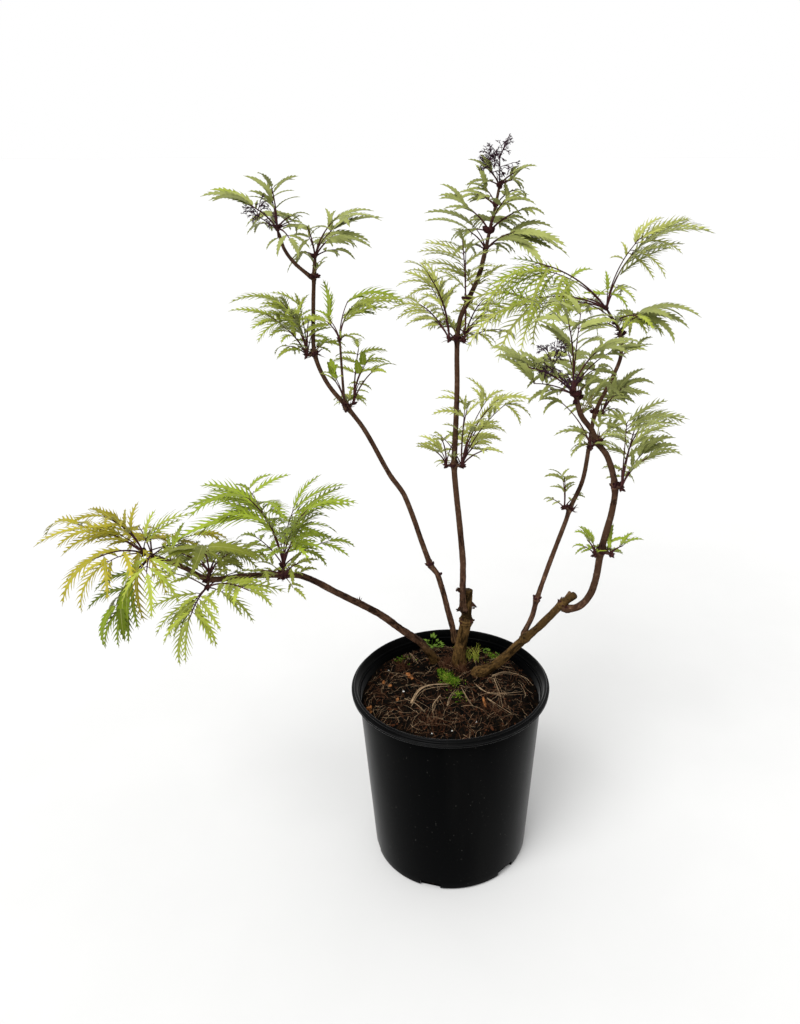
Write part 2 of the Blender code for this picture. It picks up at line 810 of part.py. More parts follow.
def make_pot(material, holder):
    pot = mesh_object("pot", turned(pot_profile(), POT_SEGMENTS), material, holder)
    cutters = []
    for heading in SLOT_HEADINGS:
        bpy.ops.mesh.primitive_cube_add(size=1)
        cutter = bpy.context.object
        cutter.scale = (SLOT_DEPTH, SLOT_WIDTH, 2 * SLOT_HEIGHT)
        cutter.location = direction(heading, 0) * BODY_FOOT_RADIUS
        cutter.rotation_euler.z = math.radians(heading)
        cutters.append(cutter)
    apply_boolean(pot, "DIFFERENCE", cutters)
    return pot


def make_soil(material, holder):
    foot_radius = wall_radius(WALL) - WALL - 0.002 - GAP
    edge_radius = wall_radius(SOIL_EDGE_Z) - WALL - 2 * GAP
    profile = [
        (0, WALL + GAP),
        (foot_radius - 0.001, WALL + GAP),
        (edge_radius, SOIL_EDGE_Z),
        (SOIL_CROWN_RADIUS + 0.008, SOIL_EDGE_Z + 0.004),
        (SOIL_CROWN_RADIUS, SOIL_TOP_Z),
        (0, SOIL_TOP_Z),
    ]
    return mesh_object("soil", turned(profile, POT_SEGMENTS), material, holder)


def smooth_shading(thing, angle):
    thing.data.shade_smooth()
    thing.data.set_sharp_from_angle(angle=math.radians(angle))


def main():
    for thing in list(bpy.data.objects):
        bpy.data.objects.remove(thing)
    holder = bpy.data.objects.new("potted_elderberry", None)
    bpy.context.scene.collection.objects.link(holder)
    plastic = plain_material("black_plastic", (0.012, 0.013, 0.014), 0.42)
    compost = plain_material("compost", (0.035, 0.022, 0.013), 0.95)
    bark = plain_material("bark", (0.16, 0.075, 0.045), 0.8)
    green = plain_material("foliage", (0.23, 0.36, 0.07), 0.6)
    smooth_shading(make_pot(plastic, holder), 35)
    make_soil(compost, holder)
    grown = {}
    for limb in LIMBS:
        grown[limb.name] = GrownLimb(limb, grown)
        smooth_shading(mesh_object(limb.name, grown[limb.name].shape, bark, holder), 60)
    obstacles = {name: tree_of([limb.shape]) for name, limb in grown.items()}
    shoots = {mass.name: grow_shoot(mass, grown[mass.limb]) for mass in MASSES}
    obstacles.update({name: tree_of([shoot]) for name, (shoot, _) in shoots.items()})
    for mass in MASSES:
        del obstacles[mass.name]
        shapes = grow_mass(mass, *shoots[mass.name], list(obstacles.values()))
        obstacles[mass.name] = tree_of(shapes)
        foliage = mesh_object(mass.name, shapes[0], green, holder)
        apply_boolean(foliage, "UNION", [mesh_object("piece", shape, green) for shape in shapes[1:]])
        keep_outer_skin(foliage.data)


main()
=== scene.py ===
"""The looks of a potted cut-leaved elderberry: its pot, compost, bark, leaves and dried flower heads.

Metres, with +Z up. The origin is the centre of the pot's flat underside, and the shrub is
looked at from -Y. A heading is in degrees, anticlockwise from +X seen from above, and a
rise is in degrees above the horizontal.
"""

import json
import math
from functools import lru_cache
from random import Random
from typing import NamedTuple

import bmesh
import bpy
from bpy.props import FloatProperty, FloatVectorProperty, IntProperty, PointerProperty
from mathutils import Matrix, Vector, noise
from mathutils.bvhtree import BVHTree
from mathutils.geometry import interpolate_bezier

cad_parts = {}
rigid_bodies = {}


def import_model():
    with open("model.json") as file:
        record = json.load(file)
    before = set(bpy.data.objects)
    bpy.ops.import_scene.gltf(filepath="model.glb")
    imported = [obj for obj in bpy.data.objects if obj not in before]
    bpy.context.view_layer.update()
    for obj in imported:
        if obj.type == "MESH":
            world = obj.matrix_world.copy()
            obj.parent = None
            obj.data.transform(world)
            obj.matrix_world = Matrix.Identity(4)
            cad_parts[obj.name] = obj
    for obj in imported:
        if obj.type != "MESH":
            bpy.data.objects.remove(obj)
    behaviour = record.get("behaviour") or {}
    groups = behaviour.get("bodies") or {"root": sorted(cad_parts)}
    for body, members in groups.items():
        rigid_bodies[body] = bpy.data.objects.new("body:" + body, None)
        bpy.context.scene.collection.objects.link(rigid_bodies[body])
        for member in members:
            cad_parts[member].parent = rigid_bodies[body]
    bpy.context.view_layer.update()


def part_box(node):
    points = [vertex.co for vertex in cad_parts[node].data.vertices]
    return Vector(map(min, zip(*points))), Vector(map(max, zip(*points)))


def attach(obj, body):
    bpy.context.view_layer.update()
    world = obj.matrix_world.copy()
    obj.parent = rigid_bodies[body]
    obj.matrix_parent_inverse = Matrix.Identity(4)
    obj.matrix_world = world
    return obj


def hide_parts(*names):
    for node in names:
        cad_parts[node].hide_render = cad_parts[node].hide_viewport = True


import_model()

bl_info = {
    "name": "Potted elderberry",
    "version": (1, 0, 0),
    "blender": (4, 5, 0),
    "location": "View3D > Sidebar > Elderberry",
    "description": "Dresses a potted cut-leaved elderberry with pot, compost, bark, leaves and flower heads",
    "category": "Object",
}

# Pot
POT_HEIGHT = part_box("pot")[1].z
RIM_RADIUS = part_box("pot")[1].x
LIP_RADIUS = RIM_RADIUS - 0.005
BAND_FOOT_Z = 0.213
BODY_TOP_RADIUS = 0.1045
RIM_BAND = 0.0100
BODY_FOOT_RADIUS = 0.0915
FOOT_ROUNDING = 0.004
WALL = 0.0018
SLOT_WIDTH = 0.024
SLOT_HEIGHT = 0.009
SLOT_DEPTH = 0.010
SLOT_HEADINGS = [255 + 60 * turn for turn in range(6)]
SHEEN = 0.24
SHEEN_ROUGHNESS = 0.29
WALL_GLOSS = 0.010
RIM_GLOSS = 0.060

# Soil
SOIL_TOP_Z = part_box("soil")[1].z
SOIL_EDGE_Z = 0.204
SOIL_CROWN_RADIUS = 0.084
SOIL_RADIUS = 0.1021
BACK_BANK = 0.0040
SOIL_RINGS = 84
SOIL_SEGMENTS = 220
# The compost rises round the stems, about this place
CROWN_X = 0.012
CROWN_Y = 0.048
CROWN_REACH = 0.026

# Litter and greens
FLAKES = 260
ROOT_RADIUS = 0.00110
FIBRE_RADIUS = 0.00044
CUSHION_HEIGHT = 0.005
GRASS_BLADES = 34

# Growth, by the same rule and values as the solids
GAP = 0.0003
CLEARANCE = 0.0006
FLARE = 0.55
FLARE_HEIGHT = 0.012
JOINT_SWELL = 0.30
JOINT_LENGTH = 0.005
RING_STEP = 0.017
COLLAR_LENGTH = 0.005
COLLAR_RADIUS = 0.0019
STALK_RADIUS = 0.0015
STALK_TIP_RADIUS = 0.0011
STALK_ARCH = 36
STALK_STEPS = 5
TWIG_SIDES = 3
SHOOT_SIDES = 5
FIRST_PAIR_AT = 0.48
LAST_PAIR_AT = 0.86
LEAFLET_WIDTH = 0.27
LEAFLET_THICKNESS = 0.022
LEAFLET_WAIST = 0.42
LEAFLET_ROOT = 0.0003
PAIR_STAGGER = 0.0014
LEAFLET_FALL = 76
LEAFLET_RISE = 0.7
LEAFLET_HANG = 24
LEAFLET_SPREAD = 50
STEEP_SPREAD = 30
LEAFLET_STEPS = 12
BASE_LEAFLET_SHARE = 0.72
TURNS = (0, 14, -14, 28, -28, 45, -45)
HEAD_SPOKES = 6
HEAD_TWIG_RADIUS = 0.0007
HEAD_FORK = 40

# Finer growth
BLADE_STEPS = 24
BLADE_FALL = 62
LIGHT = Vector((-0.10, -0.72, 0.68))
LIGHT_TURN = (0.30, 0.72)
LOWEST_FILL_AT = 0.36
BLADE_START = 0.07
BLADE_END = 0.93
RIB_HALF_WIDTH = 0.00032
THINNEST_BLADE = 0.0005
USUAL_LEAFLET = 0.055
MOST_TEETH = 12
NODE_SCALES = 12
FAINT_GLOSS = 0.02
LEAF_GLOSS = 0.12
KNOT_CRUMBS = 18
SPRIG_FAN = 46
SPRIG_SPREAD = 48
FORK_TURNS = (-38, 4, 40)
MIDDLE_FORK_MISSING = 0.35
SPOKE_RADIUS = 0.0004
FORK_LENGTH = 0.0054
LIMB_FOOT_DEPTH = 0.005
TRUNK_FOOT_DEPTH = 0.004

# Camera, worked out for the 800 x 1024 frame
FRAME_LONG_SIDE = 1024
FOCAL_PIXELS = 850
CENTRE_OFFSET_PIXELS = 50.5
CAMERA_PLACE = (0, -0.819, 0.788)
CAMERA_DOWN = 23.3
SENSOR_WIDTH = 36
NEAREST_SEEN = 0.05

# Stage
FLOOR_RADIUS = 60
LIGHT_FALLS = Vector((0.42, 0.62, -0.9))


class Limb(NamedTuple):
    """A trunk or bough: its route, its radii, the swollen points of the route and what it springs from."""

    name: str
    route: list
    base_radius: float
    tip_radius: float
    joints: tuple = ()
    parent: str = ""
    at: float = -1
    heading: float = 0
    rise: float = 0
    sides: int = 6


class Leaf(NamedTuple):
    """A compound leaf: where it grows, its course, its leaflets, how they are cut and their tint."""

    joint: int
    heading: float
    rise: float
    length: float
    leaflet: float
    pairs: int
    lift: float = 0
    spread: float = 0
    cut: str = ""
    tint: str = ""


class Head(NamedTuple):
    """A dried flower head: the shoot's joint it grows from, its stalk and its width."""

    joint: int
    heading: float
    rise: float
    length: float
    width: float


class Mass(NamedTuple):
    """A mass of foliage: what carries it, its shoot, leaves and heads, and its usual cut and tint.

    Its fill is how many companion leaves stand at each joint, and more of it brings finer leaflets.
    """

    name: str
    limb: str
    at: float
    heading: float
    rise: float
    leaves: list
    shoot: list
    heads: list
    cut: str = "cut"
    tint: str = "lime"
    fill: int = 3


class Sprig(NamedTuple):
    """Young leaves at a limb's route point: their middle course, their count, size and tint."""

    at: float
    heading: float
    rise: float
    count: int
    size: float
    tint: str = "lime"


class Stub(NamedTuple):
    """A bud, a brush of scales, a knot or a cut end: its place, course, length, radius and kind."""

    at: float
    heading: float
    rise: float
    length: float
    radius: float
    kind: str = "bud"


def metres(millimetres):
    """The same length in metres, rounded so that it is the number nearest to it."""
    return round(millimetres / 1000, 7)


def in_metres(row, first, after):
    """The row, with its lengths from one place to before another turned from millimetres to metres."""
    return (*row[:first], *map(metres, row[first:after]), *row[after:])


def limb_row(name, route, base_radius, tip_radius, *joints, **rest):
    """A limb from its row in millimetres."""
    route = [in_metres(point, 0, 3) for point in route]
    return Limb(name, route, metres(base_radius), metres(tip_radius), *joints, **rest)


def mass_row(name, limb, at, heading, rise, leaves, shoot=(), heads=(), **looks):
    """A mass from its row in millimetres."""
    leaves = [Leaf(*in_metres(leaf, 3, 5)) for leaf in leaves]
    shoot = [in_metres(length, 2, 3) for length in shoot]
    heads = [Head(*in_metres(head, 3, 5)) for head in heads]
    return Mass(name, limb, at, heading, rise, leaves, shoot, heads, **looks)


class Cut(NamedTuple):
    """A leaflet's half width, teeth a side, how deep and wide the gaps are, and the teeth's lean."""

    half_width: float
    teeth: int
    depth: float
    gap: float
    lean: float


# How leaflets are cut, in shares of their length
CUTS = {
    "round": Cut(0.250, 7, 0.16, 0.10, 60),
    "broad": Cut(0.136, 9, 0.48, 0.22, 34),
    "cut": Cut(0.160, 8, 0.80, 0.46, 33),
    "feather": Cut(0.175, 8, 0.87, 0.55, 35),
    "fern": Cut(0.205, 8, 0.91, 0.64, 44),
}

# Trunks and boughs, with routes and radii in millimetres
LIMBS = [
    limb_row("trunk_centre", [
        (10, 52, 212), (11, 50, 231), (18, 50, 274), (20, 50, 315)
    ], 6.8, 5.6, (2,), sides=8),
    limb_row("stem_centre", [
        (14, 42, 320), (14, 50, 354), (5, 62, 447), (4, 65, 464), (5, 66, 489), (7, 68, 549), (7, 70, 602),
        (10, 70, 623), (18, 70, 642), (29, 70, 667), (34, 68, 687)
    ], 3.7, 2.3, (4, 7, 9), parent="trunk_centre", at=2.6, heading=235, rise=45),
    limb_row("stem_left", [
        (-18, 58, 212), (-34, 36, 252), (-57, 22, 280), (-80, 10, 307), (-121, -12, 345), (-154, -30, 375),
        (-173, -40, 382), (-209, -48, 385), (-245, -55, 385), (-268, -55, 398), (-296, -50, 407)
    ], 4.6, 2.4, (6, 8)),
    limb_row("stem_rear", [
        (-1, 64, 271), (-15, 78, 320), (-24, 83, 332), (-53, 97, 413), (-70, 100, 439), (-97, 100, 493),
        (-115, 100, 519), (-136, 100, 547), (-148, 100, 580), (-146, 96, 625), (-142, 90, 663),
        (-140, 89, 678)
    ], 3.5, 2, (3, 7, 9, 11), parent="trunk_centre", at=1.45, heading=130, rise=70),
    limb_row("stem_rear_arm", [
        (-160, 85, 677), (-169, 82, 691), (-173, 80, 706)
    ], 2, 1.7, parent="stem_rear", at=11, heading=190, rise=35),
    limb_row("trunk_right", [(32, 33, 212), (53, 25, 230), (72, 16, 257), (85, 8, 277)], 5.4, 4.6, sides=8),
    limb_row("stem_right_inner", [
        (93, 22, 297), (98, 30, 314), (114, 48, 355), (130, 58, 399), (134, 60, 413), (147, 65, 445),
        (153, 70, 487), (158, 75, 521), (174, 75, 561), (180, 72, 583), (176, 62, 608)
    ], 2.9, 2, (2, 5, 8), parent="trunk_right", at=2.7, heading=70, rise=60),
    limb_row("stem_right_outer_low", [
        (99, -6, 301), (120, -22, 338), (131, -29, 352)
    ], 4.4, 4, (2,), parent="trunk_right"),
    limb_row("stem_right_outer", [
        (135, -34, 341), (144, -42, 358), (148, -50, 382), (150, -56, 417), (157, -60, 463), (158, -59, 488),
        (150, -53, 515), (139, -51, 530), (133, -52, 542), (122, -56, 557), (116, -60, 573)
    ], 3.9, 2.5, (4, 6, 8), parent="stem_right_outer_low", at=2, heading=330, rise=-10),
]

# Masses of foliage. Each leaf's row is its joint, heading, rise, length, leaflet length and pairs, then
# lift, spread, cut and tint where it has them. Each shoot's is heading, rise and length, and each head's
# is joint, heading, rise, length and width. Lengths are in millimetres.
MASSES = [
    mass_row("foliage_left_tip", "stem_left", -1, 0, 0, [
        (1, 219, 58, 58, 46, 3), (1, 245, 20, 62, 56, 2, -12), (1, 160, 14, 78, 70, 2, 0, 32),
        (0, 285, 12, 64, 52, 2, -22, 0, "", "lime"), (0, 211, -48, 60, 56, 3, 0, 0, "broad", "deep"),
        (0, 110, -2, 66, 52, 2)
    ], shoot=[(185, 20, 8)], tint="gold", fill=2),
    mass_row("foliage_left_inner_upper", "stem_left", 8, 250, 80, [
        (0, 280, 62, 46, 66, 1, -18, 84, "broad"), (0, 200, 44, 40, 50, 1, -10, 40), (0, 90, -4, 64, 52, 3)
    ], tint="dull"),
    mass_row("foliage_left_inner_lower", "stem_left", 8, 275, -45, [
        (0, 262, -12, 46, 52, 3, -10), (0, 322, 16, 70, 34, 3, 10)
    ]),
    mass_row("foliage_left_middle_upper", "stem_left", 6, 90, 75, [
        (0, 232, 68, 94, 80, 3, -4, 70), (0, 345, 66, 70, 64, 3, 0, 62), (0, 300, 48, 50, 40, 2),
        (0, 80, 18, 66, 52, 3)
    ], tint="fresh"),
    mass_row("foliage_left_middle_front", "stem_left", 6, 280, 15, [
        (0, 320, 44, 34, 28, 1, 12), (0, 225, 32, 32, 28, 1)
    ], tint="dull", fill=1),
    mass_row("foliage_rear_middle_left", "stem_rear", 7, 225, 40, [
        (0, 242, 62, 48, 22, 1, 20, 0, "broad"), (2, 338, 66, 38, 68, 2, -6, 30), (2, 168, 56, 22, 36, 1)
    ], shoot=[(240, 70, 8), (265, 84, 73)], fill=1),
    mass_row("foliage_rear_middle_right", "stem_rear", 7, 25, 40, [
        (0, 18, 54, 46, 28, 1, 5, 0, "broad"), (0, 88, 40, 76, 44, 3)
    ], fill=1),
    mass_row("foliage_rear_upper", "stem_rear", 9, 205, 30, [
        (0, 210, 68, 64, 58, 3, -2, 56), (0, 165, 48, 58, 50, 3), (0, 290, 66, 44, 36, 2),
        (0, 110, 34, 60, 46, 2)
    ]),
    mass_row("foliage_rear_tip_left", "stem_rear_arm", -1, 0, 0, [
        (0, 200, 42, 36, 52, 1, 8, 22), (0, 262, 80, 40, 38, 2, 0, 84), (0, 0, 40, 20, 20, 1),
        (0, 105, 12, 60, 44, 2), (0, 300, -10, 34, 28, 1)
    ], heads=[(0, 205, 34, 24, 24)], cut="broad", tint="olive", fill=2),
    mass_row("foliage_rear_tip_right", "stem_rear", -1, 0, 0, [
        (0, 262, 56, 38, 32, 1, -8, 84), (0, 340, 56, 46, 56, 1, 2, 42), (0, 70, 16, 60, 44, 3)
    ], cut="broad", tint="olive", fill=2),
    mass_row("foliage_centre_low_left", "stem_centre", 4, 200, 30, [
        (0, 215, 54, 24, 32, 1, 14), (0, 240, 74, 36, 22, 1, 14)
    ], tint="pale", fill=1),
    mass_row("foliage_centre_low_right", "stem_centre", 4, 335, 30, [
        (0, 290, 78, 70, 44, 2, 2, 84), (0, 345, 64, 86, 42, 3, -4), (0, 335, 38, 38, 22, 1, 10),
        (0, 70, 24, 70, 46, 3)
    ], tint="pale", fill=2),
    mass_row("foliage_centre_middle_left", "stem_centre", 7, 200, 35, [
        (0, 222, 68, 74, 42, 3, 4, 76), (0, 165, 70, 60, 28, 1), (0, 125, 26, 66, 44, 3)
    ], cut="feather", tint="pale", fill=2),
    mass_row("foliage_centre_middle_right", "stem_centre", 7, 320, 35, [
        (0, 321, 46, 34, 18, 1, 10), (1, 258, 80, 96, 48, 4, -4, 74), (1, 300, 80, 60, 28, 1),
        (0, 70, 28, 66, 42, 2)
    ], shoot=[(335, 75, 8)], cut="feather", tint="pale", fill=2),
    mass_row("foliage_centre_top", "stem_centre", -1, 0, 0, [
        (0, 215, 44, 26, 60, 0, 20), (0, 345, 34, 30, 62, 2, -10, 24), (1, 200, 46, 30, 36, 1, 12, 34),
        (1, 310, 56, 36, 28, 2, 10), (1, 12, 30, 44, 22, 1), (1, 82, 10, 54, 42, 3),
        (2, 190, 36, 16, 26, 1, 10), (3, 195, 52, 18, 26, 1, 30), (3, 345, 40, 18, 26, 1, 16)
    ], shoot=[(315, 76, 18), (335, 76, 25), (330, 78, 19)],
        heads=[(3, 190, 58, 22, 18), (3, 110, 88, 26, 28)], cut="broad", tint="olive", fill=2),
    mass_row("foliage_right_inner_low", "stem_right_inner", 5, 215, 50, [
        (0, 250, 78, 40, 20, 2, 10, 84)
    ], tint="olive", fill=2),
    mass_row("foliage_right_inner_middle", "stem_right_inner", 8, 20, 20, [
        (0, 10, 50, 38, 34, 3, 10), (0, 65, 20, 60, 42, 3)
    ], cut="broad", tint="olive"),
    mass_row("foliage_right_inner_top", "stem_right_inner", -1, 0, 0, [
        (0, 330, 46, 30, 62, 1, 4, 34, "broad", "olive"), (0, 60, 10, 56, 46, 3, 0, 0, "cut"),
        (2, 335, 66, 66, 76, 3, 10, 30, "", "olive"), (2, 197, 32, 90, 100, 3, -24, 50, "fern"),
        (2, 176, 10, 74, 58, 2, -6), (1, 290, 18, 44, 30, 1), (2, 115, 0, 62, 50, 2)
    ], shoot=[(212, 50, 12), (220, 46, 22)], cut="feather", fill=2),
    mass_row("foliage_right_outer_top", "stem_right_outer", -1, 0, 0, [
        (1, 240, 74, 66, 62, 2, 8, 64), (1, 350, 60, 46, 44, 1, 6, 32), (0, 205, 32, 60, 46, 2, 34, 30),
        (0, 90, 24, 66, 46, 2)
    ], shoot=[(190, 65, 6)], heads=[(1, 205, 42, 34, 40)], cut="broad", tint="olive"),
    mass_row("foliage_right_outer_neck", "stem_right_outer", 8, 200, 30, [
        (0, 190, 58, 16, 30, 1, -4)
    ], tint="olive", fill=2),
    mass_row("foliage_right_outer_side", "stem_right_outer", 6, 300, 40, [
        (0, 285, 72, 64, 54, 3, 8, 76), (0, 315, 56, 44, 38, 2, 8), (0, 70, 34, 74, 46, 3)
    ], tint="olive", fill=1),
    mass_row("foliage_right_outer_low_left", "stem_right_outer", 4, 230, 40, [
        (0, 205, 60, 20, 24, 1, 30)
    ], tint="fresh", fill=2),
    mass_row("foliage_right_outer_low_right", "stem_right_outer", 4, 330, 40, [
        (0, 340, 44, 16, 26, 1, 26)
    ], tint="fresh", fill=2),
]

